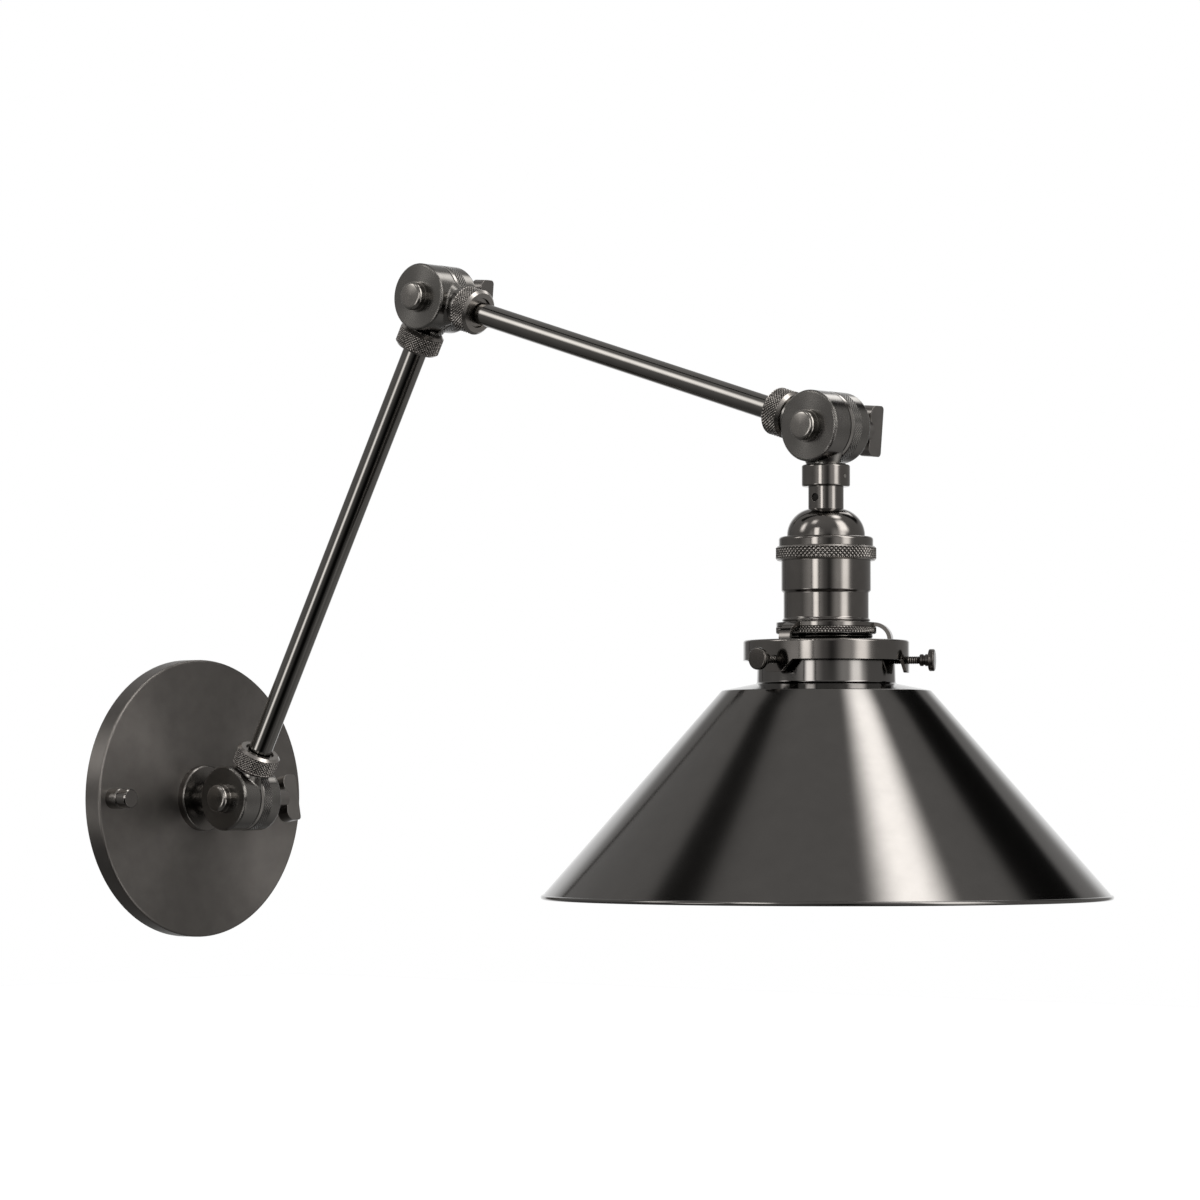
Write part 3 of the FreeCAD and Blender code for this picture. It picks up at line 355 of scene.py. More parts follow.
def stand(point, axis):
    """A frame at a point with its Z along an axis."""
    up = Vector(axis).normalized()
    side = up.orthogonal().normalized()
    turned = Matrix((side, up.cross(side), up)).transposed().to_4x4()
    turned.translation = Vector(point)
    return turned


def lathe(name, place, rows, steps, relief=None):
    """A closed ring swept about the frame's Z.

    rows are (radius, height, share) in millimetres round the section; relief
    gives how far the surface sinks at (angle, height), times the row's share.
    """
    vertices = []
    depths = []
    for radius, height, share in rows:
        for step in range(steps):
            angle = 2 * math.pi * step / steps
            depth = share * relief(angle, height) if relief and share else 0.0
            depths.append(abs(depth))
            out = radius - depth
            vertices.append((out * math.cos(angle) * MM, out * math.sin(angle) * MM, height * MM))
    faces = []
    for row in range(len(rows)):
        low = row * steps
        high = (row + 1) % len(rows) * steps
        for step in range(steps):
            side = (step + 1) % steps
            faces.append((low + step, low + side, high + side, high + step))
    mesh = bpy.data.meshes.new(name)
    mesh.from_pydata(vertices, [], faces)
    mesh.attributes.new("sunk", "FLOAT", "POINT").data.foreach_set("value", depths)
    mesh.transform(place)
    mesh.update()
    mesh.shade_smooth()
    mesh.set_sharp_from_angle(angle=math.radians(SHARP_ANGLE))
    made = bpy.data.objects.new(name, mesh)
    bpy.context.scene.collection.objects.link(made)
    return made


def plain(*points):
    """Rows without relief through (radius, height) points."""
    return [(radius, height, 0.0) for radius, height in points]


def divided(first, last, pieces):
    """Rows between two (radius, height, share) rows, the last left out."""
    return [
        tuple(start + (end - start) * piece / pieces for start, end in zip(first, last))
        for piece in range(pieces)
    ]


def cut_side(radius, start, end, pieces, share=1.0):
    """Rows of a straight side that takes the relief, the last left out."""
    return divided((radius, start, share), (radius, end, share), pieces)


def arc(centre, radius, start, end, pieces):
    """Section rows on an arc, angles in degrees from outwards, anticlockwise."""
    rows = []
    for piece in range(pieces + 1):
        angle = math.radians(start + (end - start) * piece / pieces)
        rows.append((centre[0] + radius * math.cos(angle), centre[1] + radius * math.sin(angle), 0.0))
    return rows


def wave(value):
    """1 on a crest and 0 in a groove, once per unit."""
    return 1 - abs(2 * (value % 1.0) - 1)


def knurl(radius, spacing):
    """Crossed grooves a spacing apart, round a surface of a radius."""
    count = round(2 * math.pi * radius / spacing)

    def sink(angle, height):
        turn = angle * count / (2 * math.pi)
        lift = height / spacing
        crest = min(wave(turn + lift), wave(turn - lift))
        return KNURL_DEPTH * (1 - min(1.0, crest * KNURL_STEEPNESS))

    return sink


def thread(pitch, depth):
    """One groove that winds round, a pitch from turn to turn."""

    def sink(angle, height):
        return depth * (1 - wave(height / pitch - angle / (2 * math.pi)))

    return sink


# ------------------------------------------------------------------ finishes

NICKEL_TONE = "6b6865"
TUBE_TONE = "72706d"
SHADE_TONE = "686664"
KNURL_TONE = "94908c"
THREAD_TONE = "55524f"
WING_TONE = "7b7875"
BOLT_TONE = "85827e"
BLACK_STEEL_AND_SHADE_TONE = "2b2a29"
STEEL_TONE = "9d9a96"
ZINC_TONE = "a9adb0"
BRASS_TONE = "c8a565"
ALUMINIUM_TONE = "c9c8c5"
GREEN_TONE = "2f6b3c"
PORCELAIN_TONE = "e4e0d8"
PHENOLIC_TONE = "1c1a19"
WIRE_TONE = "151515"

# each knuckle's knurled band: its start and end along the pivot, and its radius
KNUCKLE_BAND = (0.9, 5.2, 14.3)

# Black nickel over satin-ground steel: the pressed wall plate.
plate_finish = metal(
    "satin_gunmetal_plate",
    NICKEL_TONE,
    0.36,
    plate_middle,
    OUTWARD,
    grain=0.75,
    line=0.4,
    line_depth=0.006,
    edge=0.8,
)
# Black nickel over drawn steel tube, buffed along its length.
lower_tube_finish = metal(
    "buffed_gunmetal_lower_tube", TUBE_TONE, 0.13, elbow_pivot, lower_line, mottle=14
)
upper_tube_finish = metal(
    "buffed_gunmetal_upper_tube", TUBE_TONE, 0.13, elbow_pivot, upper_line, mottle=14
)
# Black nickel over turned brass, with the lathe's marks left on its faces.
knuckle_finish = {
    where: metal(
        f"turned_gunmetal_{where}_knuckle",
        TUBE_TONE,
        0.17,
        pivot,
        SIDEWAYS,
        grain=0.88,
        edge=0.9,
        knurled=KNUCKLE_BAND,
    )
    for where, pivot in PIVOTS.items()
}
# The same, duller: the collars on the wall plate.
collar_finish = metal(
    "turned_gunmetal_wall_collar", NICKEL_TONE, 0.26, plate_middle, OUTWARD, grain=0.6, edge=0.3
)
# Black nickel over cast brass, buffed flat: the wing nuts' blocks.
wing_finish = metal("buffed_gunmetal_wing", WING_TONE, 0.3, elbow_pivot, SIDEWAYS, edge=0.5)
# Black nickel over spun brass, polished: the lampholder's shells and the holder.
polished_finish = metal(
    "polished_gunmetal_lampholder",
    NICKEL_TONE,
    0.12,
    head_pivot,
    UPWARD,
    line=0.6,
    line_depth=0.002,
    edge=0.2,
)
# The plating on a knurl, in a lighter tone than the plain plating, bright on the diamonds and with
# painted shade dark in the grooves.
knurl_finish = metal(
    "knurled_gunmetal", KNURL_TONE, 0.26, head_pivot, UPWARD, line=0.5, groove=KNURL_DEPTH
)
# The same plating in a darker tone on cut threads, with painted shade dark in their roots.
thread_finish = metal(
    "threaded_gunmetal", THREAD_TONE, 0.2, head_pivot, UPWARD, line=0.6, groove=THREAD_ROOT_SHADE_DEPTH
)
# The knuckles' bolts: turned, buffed and left with fine rings on their caps.
bolt_finish = {
    where: metal(
        f"turned_gunmetal_{where}_bolt",
        BOLT_TONE,
        0.2,
        pivot,
        SIDEWAYS,
        grain=0.4,
        line=0.3,
        line_depth=0.001,
    )
    for where, pivot in PIVOTS.items()
}
# Blackened steel: the set screw down its hole, nearly black, which also paints the shade in the hole.
black_steel_and_shade_finish = metal("blackened_steel_set_screw_and_hole_shade", BLACK_STEEL_AND_SHADE_TONE, 0.3, head_pivot, UPWARD)
# Gunmetal plating over a spun steel shade, brushed round its axis.
shade_finish = metal(
    "spun_gunmetal_shade",
    SHADE_TONE,
    0.115,
    head_pivot,
    UPWARD,
    grain=0.75,
    line=0.45,
    line_depth=0.002,
    mottle_share=0.04,
    rough_share=0.08,
)
# Turned steel, bare and bright: the washers and the stop pin.
steel_finish = metal("bright_steel", STEEL_TONE, 0.2, head_pivot, SIDEWAYS)
# Zinc over pressed steel, pale and bluish: the fixings behind the wall plate.
zinc_finish = metal("zinc_plated_steel", ZINC_TONE, 0.35, plate_middle, OUTWARD)
# Turned brass, warm yellow: the hollow screws and the electrical contacts.
brass_finish = metal("turned_brass", BRASS_TONE, 0.25, head_pivot, UPWARD)
# Rolled aluminium, pale and soft in its shine: the shell that takes the bulb.
shell_finish = metal("rolled_aluminium_screw_shell", ALUMINIUM_TONE, 0.28, head_pivot, UPWARD)
# Glazed porcelain, off-white under a clear gloss: the lampholder's insulator.
porcelain_finish = moulded("glazed_porcelain", PORCELAIN_TONE, 0.18, coat=0.4)
# Moulded phenolic, black with a low shine: the switch's body.
phenolic_finish = moulded("black_phenolic", PHENOLIC_TONE, 0.4)
# Extruded wire cover, black and nearly matt.
wire_finish = moulded("black_wire_cover", WIRE_TONE, 0.45)
# Green dye over steel marks the screw that takes the earth wire.
green_finish = metal("green_dyed_ground_screw", GREEN_TONE, 0.35, plate_middle, OUTWARD)

FINISHES = {
    plate_finish: ["wall_plate"],
    collar_finish: ["wall_collar", "switch_collar"],
    knuckle_finish["wall"]: ["wall_knuckle_stem", "wall_knuckle_arm"],
    knuckle_finish["elbow"]: ["elbow_knuckle_lower", "elbow_knuckle_upper"],
    knuckle_finish["head"]: ["head_knuckle_arm", "head_knuckle_holder"],
    bolt_finish["wall"]: ["wall_bolt"],
    bolt_finish["elbow"]: ["elbow_bolt"],
    bolt_finish["head"]: ["head_bolt"],
    black_steel_and_shade_finish: ["socket_set_screw"],
    wing_finish: ["wall_wing_nut", "elbow_wing_nut", "head_wing_nut"],
    lower_tube_finish: ["lower_arm_tube"],
    upper_tube_finish: ["upper_arm_tube"],
    polished_finish: [
        "switch_knob",
        "head_collar",
        "socket_cap",
        "socket_cap_ring",
        "socket_shell",
        "shade_holder",
        "shade_screw_left",
        "shade_screw_front",
        "shade_screw_back",
    ],
    knurl_finish: [
        "lower_wall_nut",
        "lower_elbow_nut",
        "upper_elbow_nut",
        "upper_head_nut",
        "socket_grip_ring",
        "holder_ring",
        "lower_wall_ferrule",
        "lower_elbow_ferrule",
        "upper_elbow_ferrule",
        "upper_head_ferrule",
    ],
    shade_finish: ["shade"],
    steel_finish: [
        "wall_friction_washer",
        "elbow_friction_washer",
        "head_friction_washer",
        "head_stop_pin",
    ],
    zinc_finish: ["mounting_strap", "mounting_nipple", "nipple_lock_nut", "switch_bushing"],
    brass_finish: [
        "wall_swivel_screw",
        "head_swivel_screw",
        "lamp_centre_contact",
        "terminal_screws",
    ],
    shell_finish: ["lamp_screw_shell"],
    porcelain_finish: ["socket_insulator"],
    phenolic_finish: ["switch_body"],
    wire_finish: ["lower_arm_wires", "upper_arm_wires"],
    green_finish: ["ground_screw"],
}
for finish, names in FINISHES.items():
    for name in names:
        part = frame["nodes"][name]
        if not part.material_slots:
            part.data.materials.append(finish)
        for slot in part.material_slots:
            slot.material = finish


# ------------------------------------------------------------------ knurled nuts

NUT_RADIUS = 9.75
NUT_LENGTH = 9.15
NUT_EDGE = 1.15
NUT_BORE = 7.25
NUT_MOUTH = 6.5
NUT_LIP = 2.2
NUT_CORNER = 0.12
NUT_RUN_IN = 0.25
NUT_ROWS = 44
NUT_STEPS = 420
# where the lower and the upper arm's nuts start, along the arm from its pivot
LOWER_NUT_START = 14.95
UPPER_NUT_START = 18.05


def knurled_nut(name, point, axis, start, body):
    """The clamp nut at a tube's end, with its diamond knurl cut in."""
    end = start + NUT_LENGTH
    low, high = start + NUT_EDGE, end - NUT_EDGE
    rows = plain(
        (NUT_BORE, start),
        (NUT_RADIUS - NUT_EDGE, start),
        (NUT_RADIUS - NUT_CORNER, low - NUT_CORNER),
        (NUT_RADIUS, low),
    )
    rows += cut_side(NUT_RADIUS, low + NUT_RUN_IN, high - NUT_RUN_IN, NUT_ROWS)
    rows += [(NUT_RADIUS, high - NUT_RUN_IN, 1.0)]
    rows += plain(
        (NUT_RADIUS, high),
        (NUT_RADIUS - NUT_CORNER, high + NUT_CORNER),
        (NUT_RADIUS - NUT_EDGE, end),
        (NUT_MOUTH, end),
        (NUT_MOUTH, end - NUT_LIP),
        (NUT_BORE, end - NUT_LIP),
    )
    place = stand(point, axis)
    made = lathe(name + "_knurled", place, rows, NUT_STEPS, knurl(NUT_RADIUS, KNURL_SPACING))
    made.data.materials.append(knurl_finish)
    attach(made, body)
    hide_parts(name)


knurled_nut("lower_wall_nut", wall_pivot, lower_line, LOWER_NUT_START, "lower_wall_nut")
knurled_nut("lower_elbow_nut", elbow_pivot, -lower_line, LOWER_NUT_START, "lower_elbow_nut")
knurled_nut("upper_elbow_nut", elbow_pivot, upper_line, UPPER_NUT_START, "upper_elbow_nut")
knurled_nut("upper_head_nut", head_pivot, -upper_line, UPPER_NUT_START, "upper_head_nut")


# ------------------------------------------------------------------ knurled rings

# Heights on the lampholder are below the head's pivot, so they are negative.
GRIP_RING_TOP = -47.8
HOLDER_RING_END = -82.7
RING_CORNER = 0.1
RING_RUN_IN = 0.2
RING_STEPS = 880


def knurled_ring(name, bore, radius, top, end, edge, spacing, rows_in_knurl):
    """A flat knurled ring round the lampholder."""
    low, high = end + edge, top - edge
    rows = plain(
        (bore, end),
        (radius - edge, end),
        (radius - RING_CORNER, low - RING_CORNER),
        (radius, low),
    )
    rows += cut_side(radius, low + RING_RUN_IN, high - RING_RUN_IN, rows_in_knurl)
    rows += [(radius, high - RING_RUN_IN, 1.0)]
    rows += plain(
        (radius, high),
        (radius - RING_CORNER, high + RING_CORNER),
        (radius - edge, top),
        (bore, top),
    )
    made = lathe(name + "_knurled", stand(head_pivot, UPWARD), rows, RING_STEPS, knurl(radius, spacing))
    made.data.materials.append(knurl_finish)
    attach(made, "lampholder")
    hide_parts(name)


knurled_ring(
    "socket_grip_ring",
    bore=17.92,
    radius=20.05,
    top=GRIP_RING_TOP,
    end=-53.5,
    edge=0.7,
    spacing=GRIP_KNURL_SPACING,
    rows_in_knurl=32,
)
knurled_ring(
    "holder_ring",
    bore=18.7,
    radius=20.0,
    top=-79.9,
    end=HOLDER_RING_END,
    edge=0.4,
    spacing=HOLDER_KNURL_SPACING,
    rows_in_knurl=16,
)


# ------------------------------------------------------------------ shade

SHADE_WALL = 1.0
NECK_RADIUS = 27.25
NECK_TOP = -87.2
NECK_END = -103.0
CORNER_RADIUS = 42.0
CORNER_HEIGHT = -104.8
RIM_RADIUS = 113.6
RIM_HEIGHT = -187.5
HEM_RADIUS = 0.9
NECK_ROUND = 1.4
CORNER_ROUND = 0.6
SHADE_SIDE_ROWS = 12
SHADE_HEM_ROWS = 28
SHADE_STEPS = 720

slope = math.atan2(RIM_RADIUS - CORNER_RADIUS, CORNER_HEIGHT - RIM_HEIGHT)
side_inset = SHADE_WALL / math.cos(slope)
corner_inset = side_inset - SHADE_WALL * math.tan(slope)


def rounded_corner(before, corner, after, radius, pieces=8):
    """Section rows of an arc that touches both sides of a corner."""
    here = Vector(corner)
    back = (Vector(before) - here).normalized()
    ahead = (Vector(after) - here).normalized()
    half = back.angle(ahead) / 2
    centre = here + (back + ahead).normalized() * radius / math.sin(half)
    first = here + back * radius / math.tan(half) - centre
    last = here + ahead * radius / math.tan(half) - centre
    rows = []
    for piece in range(pieces + 1):
        out = first.slerp(last, piece / pieces)
        rows.append((centre.x + out.x, centre.y + out.y, 0.0))
    return rows


def shade_section():
    """The shade's wall, from the hem up its outside and down its inside."""
    hem = Vector((RIM_RADIUS - side_inset / 2, RIM_HEIGHT))
    outwards = Vector((math.cos(slope), math.sin(slope)))
    reach = math.sqrt(HEM_RADIUS**2 - (SHADE_WALL / 2) ** 2)
    turn = math.degrees(math.atan2(reach, SHADE_WALL / 2))
    facing = math.degrees(slope)
    rows = arc(hem, HEM_RADIUS, facing + 180 - turn, facing + 360 + turn, SHADE_HEM_ROWS)
    neck_outside = (NECK_RADIUS, NECK_END)
    neck_inside = (NECK_RADIUS - SHADE_WALL, NECK_END - SHADE_WALL)
    corner_outside = (CORNER_RADIUS, CORNER_HEIGHT)
    corner_inside = (CORNER_RADIUS - corner_inset, CORNER_HEIGHT - SHADE_WALL)
    top_outside = (NECK_RADIUS, NECK_TOP)
    top_inside = (NECK_RADIUS - SHADE_WALL, NECK_TOP)
    foot_outside = hem + outwards * SHADE_WALL / 2
    foot_inside = hem - outwards * SHADE_WALL / 2
    outside = rounded_corner(foot_outside, corner_outside, neck_outside, CORNER_ROUND + SHADE_WALL)
    rows += divided(rows[-1], outside[0], SHADE_SIDE_ROWS)[1:] + outside
    rows += rounded_corner(corner_outside, neck_outside, top_outside, NECK_ROUND)
    rows += plain(top_outside, top_inside)
    rows += rounded_corner(top_inside, neck_inside, corner_inside, NECK_ROUND + SHADE_WALL)
    inside = rounded_corner(neck_inside, corner_inside, foot_inside, CORNER_ROUND)
    rows += inside + divided(inside[-1], rows[0], SHADE_SIDE_ROWS)[1:]
    return rows


shade_skin = lathe("shade_spun", stand(head_pivot, UPWARD), shade_section(), SHADE_STEPS)
shade_skin.data.materials.append(shade_finish)
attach(shade_skin, "shade")
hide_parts("shade")


# ------------------------------------------------------------------ bolts

# Heights run along the pivot, from the cap on the near side (-) to the wing nut (+).
BOLT_RADIUS = 3.0
BOLT_END = 22.0
BOLT_STEPS = 160
CAP_SEAT = -11.52
CAP_FLANGE_FACE = -12.92
CAP_FLANGE_RADIUS = 6.5
CAP_FLANGE_BEVEL = 0.1
CAP_FACE = -16.52
CAP_ROUND = 1.6
CAP_DOME = 0.18
CAP_DOME_RADIUS = 4.5
CAP_RADIUS = CAP_DOME_RADIUS + CAP_ROUND
CAP_SIDE_START = -14.6


def knuckle_bolt(where, pivot, body):
    """A knuckle's bolt with its slightly domed, round-edged cap."""
    rows = plain((BOLT_RADIUS, BOLT_END), (NEAR_AXIS, BOLT_END), (NEAR_AXIS, CAP_FACE))
    for out in (1.0, 2.0, 3.0, 4.0, CAP_DOME_RADIUS):
        rows += plain((out, CAP_FACE + CAP_DOME * (out / CAP_DOME_RADIUS) ** 2))
    rows += arc((CAP_DOME_RADIUS, CAP_FACE + CAP_DOME + CAP_ROUND), CAP_ROUND, -85, 0, 10)[1:]
    rows += plain(
        (CAP_RADIUS, CAP_SIDE_START),
        (CAP_RADIUS, CAP_FLANGE_FACE),
        (CAP_FLANGE_RADIUS - CAP_FLANGE_BEVEL, CAP_FLANGE_FACE),
        (CAP_FLANGE_RADIUS, CAP_FLANGE_FACE + CAP_FLANGE_BEVEL),
        (CAP_FLANGE_RADIUS, CAP_SEAT),
        (BOLT_RADIUS, CAP_SEAT),
    )
    made = lathe(f"{where}_bolt_turned", stand(pivot, SIDEWAYS), rows, BOLT_STEPS)
    made.data.materials.append(bolt_finish[where])
    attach(made, body)
    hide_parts(f"{where}_bolt")


knuckle_bolt("wall", wall_pivot, "wall_swivel")
knuckle_bolt("elbow", elbow_pivot, "elbow_base")
knuckle_bolt("head", head_pivot, "head_base")


# ------------------------------------------------------------------ lampholder shell

SHELL_BORE = 16.1
SHELL_BODY_RADIUS = 17.87
SHELL_BODY_END = -65.4
SHELL_WAIST_RADIUS = 17.0
SHELL_WAIST_TOP = -66.5
SHELL_WAIST_END = -76.2
SHELL_BEAD_CENTRE = (17.1, -77.3)
SHELL_BEAD_ROUND = 0.5
SHELL_SKIRT_RADIUS = 18.65
SHELL_SKIRT_TOP = -78.2
SHELL_SKIRT_EDGE = 0.2
SHELL_THREAD_TOP = -82.8
SHELL_THREAD_END = -88.7
SHELL_THREAD_ROWS = 60
SHELL_THREAD = thread(1.5, 0.35)
SHELL_END = -89.0
SHELL_END_EDGE = 0.25
SHELL_STEPS = 240
# a row this far from a bend holds the shading of the straight beside it
HOLD = 0.2


def shell_section():
    """The shell from its threaded skirt up over the bead, the waist and the body."""
    rows = plain(
        (SHELL_BORE, SHELL_END),
        (SHELL_SKIRT_RADIUS - SHELL_END_EDGE, SHELL_END),
        (SHELL_SKIRT_RADIUS, SHELL_END + SHELL_END_EDGE),
    )
    rows += cut_side(SHELL_SKIRT_RADIUS, SHELL_THREAD_END, SHELL_THREAD_TOP, SHELL_THREAD_ROWS)
    rows += plain(
        (SHELL_SKIRT_RADIUS, SHELL_THREAD_TOP),
        (SHELL_SKIRT_RADIUS, SHELL_SKIRT_TOP - SHELL_SKIRT_EDGE),
        (SHELL_SKIRT_RADIUS - SHELL_SKIRT_EDGE, SHELL_SKIRT_TOP),
        (17.5, SHELL_SKIRT_TOP),
    )
    rows += arc(SHELL_BEAD_CENTRE, SHELL_BEAD_ROUND, -75, 75, 8)
    rows += plain(
        (SHELL_WAIST_RADIUS, SHELL_WAIST_END - HOLD),
        (SHELL_WAIST_RADIUS, SHELL_WAIST_END),
        (SHELL_WAIST_RADIUS, SHELL_WAIST_TOP - HOLD),
        (SHELL_WAIST_RADIUS, SHELL_WAIST_TOP),
        (17.1, -66.3),
        (17.75, -65.6),
        (SHELL_BODY_RADIUS, SHELL_BODY_END),
        (SHELL_BODY_RADIUS, SHELL_BODY_END + HOLD),
        (SHELL_BODY_RADIUS, GRIP_RING_TOP),
        (SHELL_BORE, GRIP_RING_TOP),
    )
    return rows


shell = lathe("socket_shell_spun", stand(head_pivot, UPWARD), shell_section(), SHELL_STEPS, SHELL_THREAD)
shell.data.materials.append(polished_finish)
shell.data.materials.append(thread_finish)
# the thread shows below the holder ring
for face in shell.data.polygons:
    height = (face.center.z - head_pivot.z) / MM
    face.material_index = 1 if height < HOLDER_RING_END else 0
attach(shell, "lampholder")
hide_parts("socket_shell")


# ------------------------------------------------------------------ thumb screws

# Heights run outwards from the shade's axis along each screw.
BAND_DROP = 93.4
SCREW_TIP = 27.55
SCREW_RADIUS = 1.6
SCREW_BEVEL = 0.3
SCREW_SHAFT_END = 37.6
SCREW_COLLAR_RADIUS = 2.4
SCREW_COLLAR_END = 41.2
SCREW_GROOVE_RADIUS = 2.0
SCREW_GROOVE = (39.2, 39.6)
SCREW_HEAD_ROUND = 0.6
SCREW_HEAD_CENTRE = 3.8
SCREW_END = 43.6
SCREW_THREAD = thread(0.8, 0.28)
SCREW_ROWS = 80
SCREW_STEPS = 96


def thumb_screw(side, around):
    """A thumb screw: threaded shaft, grooved collar and disc head, laid level."""
    outwards = Vector((math.cos(math.radians(around)), math.sin(math.radians(around)), 0))
    groove_start, groove_end = SCREW_GROOVE
    rows = plain(
        (NEAR_AXIS, SCREW_END),
        (NEAR_AXIS, SCREW_TIP),
        (SCREW_RADIUS - SCREW_BEVEL, SCREW_TIP),
        (SCREW_RADIUS, SCREW_TIP + SCREW_BEVEL),
    )
    rows += cut_side(SCREW_RADIUS, SCREW_TIP + SCREW_BEVEL, SCREW_SHAFT_END, SCREW_ROWS)
    rows += plain(
        (SCREW_RADIUS, SCREW_SHAFT_END),
        (SCREW_COLLAR_RADIUS - SCREW_BEVEL, SCREW_SHAFT_END),
        (SCREW_COLLAR_RADIUS, SCREW_SHAFT_END + SCREW_BEVEL),
        (SCREW_COLLAR_RADIUS, groove_start - SCREW_BEVEL),
        (SCREW_GROOVE_RADIUS, groove_start),
        (SCREW_GROOVE_RADIUS, groove_end),
        (SCREW_COLLAR_RADIUS, groove_end + SCREW_BEVEL),
        (SCREW_COLLAR_RADIUS, SCREW_COLLAR_END - 0.2),
        (SCREW_COLLAR_RADIUS - 0.2, SCREW_COLLAR_END),
    )
    under = (SCREW_HEAD_CENTRE, SCREW_COLLAR_END + SCREW_HEAD_ROUND)
    over = (SCREW_HEAD_CENTRE, SCREW_END - SCREW_HEAD_ROUND)
    rows += arc(under, SCREW_HEAD_ROUND, -90, 0, 6) + arc(over, SCREW_HEAD_ROUND, 0, 90, 6)
    place = stand(head_pivot - UPWARD * BAND_DROP * MM, outwards)
    made = lathe(f"shade_screw_{side}_threaded", place, rows, SCREW_STEPS, SCREW_THREAD)
    made.data.materials.append(thread_finish)
    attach(made, f"shade_screw_{side}")
    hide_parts(f"shade_screw_{side}")


for side, around in (("left", 180), ("front", -60), ("back", 60)):
    thumb_screw(side, around)


# ------------------------------------------------------------------ screw shell

SCREW_SHELL_BORE = 13.2
SCREW_SHELL_RADIUS = 13.95
SCREW_SHELL_TOP = -60.0
SCREW_SHELL_END = -84.0
SCREW_SHELL_RUN_IN = 0.3
SCREW_SHELL_ROWS = 90
SCREW_SHELL_STEPS = 144
# the rolled thread, 3.63 mm from turn to turn; it stands out from the bore
ROLLED_THREAD = thread(3.63, 0.55)
OUTWARDS = -1.0

screw_shell_rows = plain(
    (SCREW_SHELL_BORE, SCREW_SHELL_END),
    (SCREW_SHELL_RADIUS, SCREW_SHELL_END),
    (SCREW_SHELL_RADIUS, SCREW_SHELL_TOP),
    (SCREW_SHELL_BORE, SCREW_SHELL_TOP),
)
screw_shell_rows += cut_side(
    SCREW_SHELL_BORE,
    SCREW_SHELL_TOP - SCREW_SHELL_RUN_IN,
    SCREW_SHELL_END + SCREW_SHELL_RUN_IN,
    SCREW_SHELL_ROWS,
    share=OUTWARDS,
)
shell_thread = lathe(
    "lamp_screw_shell_rolled",
    stand(head_pivot, UPWARD),
    screw_shell_rows,
    SCREW_SHELL_STEPS,
    ROLLED_THREAD,
)
shell_thread.data.materials.append(shell_finish)
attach(shell_thread, "lampholder")
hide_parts("lamp_screw_shell")


# ------------------------------------------------------------------ studio

CAMERA_LENS = 143.1
CAMERA_SPOT = Vector((-1.483482, -1.561329, 0.005516))
CAMERA_TURN = -48.468
CAMERA_TILT = 2.232
SENSOR_WIDTH = 36.0
# level directions: from the lamp to the camera, and to the right in its picture
TOWARD_CAMERA = Vector((-0.7487, -0.663, 0))
TO_THE_RIGHT = Vector((0.663, -0.7487, 0))

WHITE = (1.0, 1.0, 1.0, 1.0)
CLOTH_WHITE = colour("fffdfb")
FLOOR_GREY = colour("c4c4c4")
FLOOR_GLOW = 0.75
FLOOR_REACH = 12.0
# below the 0.69 m that the arms and the fastened shade reach down
FLOOR_HEIGHT = -0.75

# The room is dim below and lighter overhead: its light at two lifts, in degrees.
ROOM_LIFTS = (-30.0, 50.0)
ROOM_LIGHTS = (0.16, 0.48)
# The white backdrop's half sizes and soft edge, in degrees.
BACKDROP_HALF = 23.0
BACKDROP_SOFT = 6.0

# Soft panels round the lamp. Each is placed by its turn to the right of the
# camera and its lift; its half sizes and its soft edge are in degrees too.
PANELS = [
    dict(at_turn=-32, at_lift=2, wide=18, high=14, soft=9, strength=0.7),
    dict(at_turn=-56, at_lift=-12, wide=8, high=7, soft=7, strength=5.0),
    dict(at_turn=-50, at_lift=52, wide=9, high=6, soft=5, strength=4.0),
    dict(at_turn=-80, at_lift=27, wide=6, high=12, soft=6, strength=5.0),
    dict(at_turn=-92, at_lift=4, wide=22, high=18, soft=14, strength=0.08),
    dict(at_turn=100, at_lift=-32, wide=42, high=12, soft=12, strength=0.28),
    dict(at_turn=40, at_lift=4, wide=22, high=18, soft=9, strength=0.7),
    dict(at_turn=60, at_lift=-26, wide=13, high=12, soft=8, strength=2.2),
    dict(at_turn=54, at_lift=34, wide=14, high=21, soft=7, strength=6.0),
    dict(at_turn=48, at_lift=2, wide=9, high=8, soft=6, strength=3.5),
    dict(at_turn=97, at_lift=0, wide=70, high=14, soft=12, strength=0.1),
]
# One round lamp high on the right.
ROUND_LAMP = dict(at_turn=79, at_lift=70, half=7.5, soft=5.5, strength=6.6)
# Dark flags, placed in the same way, that take this share of the light.
FLAG_STRENGTH = 0.97
FLAGS = [
    dict(at_turn=-108, at_lift=58, wide=9, high=17, soft=1.2, strength=FLAG_STRENGTH),
    dict(at_turn=131, at_lift=42, wide=12, high=16, soft=2.5, strength=FLAG_STRENGTH),
    dict(at_turn=5, at_lift=-20, wide=5, high=24, soft=5, strength=FLAG_STRENGTH),
    dict(at_turn=4, at_lift=-40, wide=24, high=12, soft=9, strength=FLAG_STRENGTH),
]


def band(tree, value, centre, half, soft):
    """1 within half of a centre, falling softly to 0 outside, all in the value's units."""
    return node(
        tree,
        "MapRange",
        {"Value": away_from(tree, value, centre), "From Min": half + soft, "From Max": half - soft},
        interpolation_type="SMOOTHSTEP",
    )


def panel(tree, turn, lift, at_turn, at_lift, wide, high, soft, strength):
    """A soft-edged panel of light, a little softer above and below than at its sides."""
    across = band(tree, turn, at_turn, wide, soft)
    upward = band(tree, lift, at_lift, high, soft * 1.5)
    return product(tree, across, upward, strength)


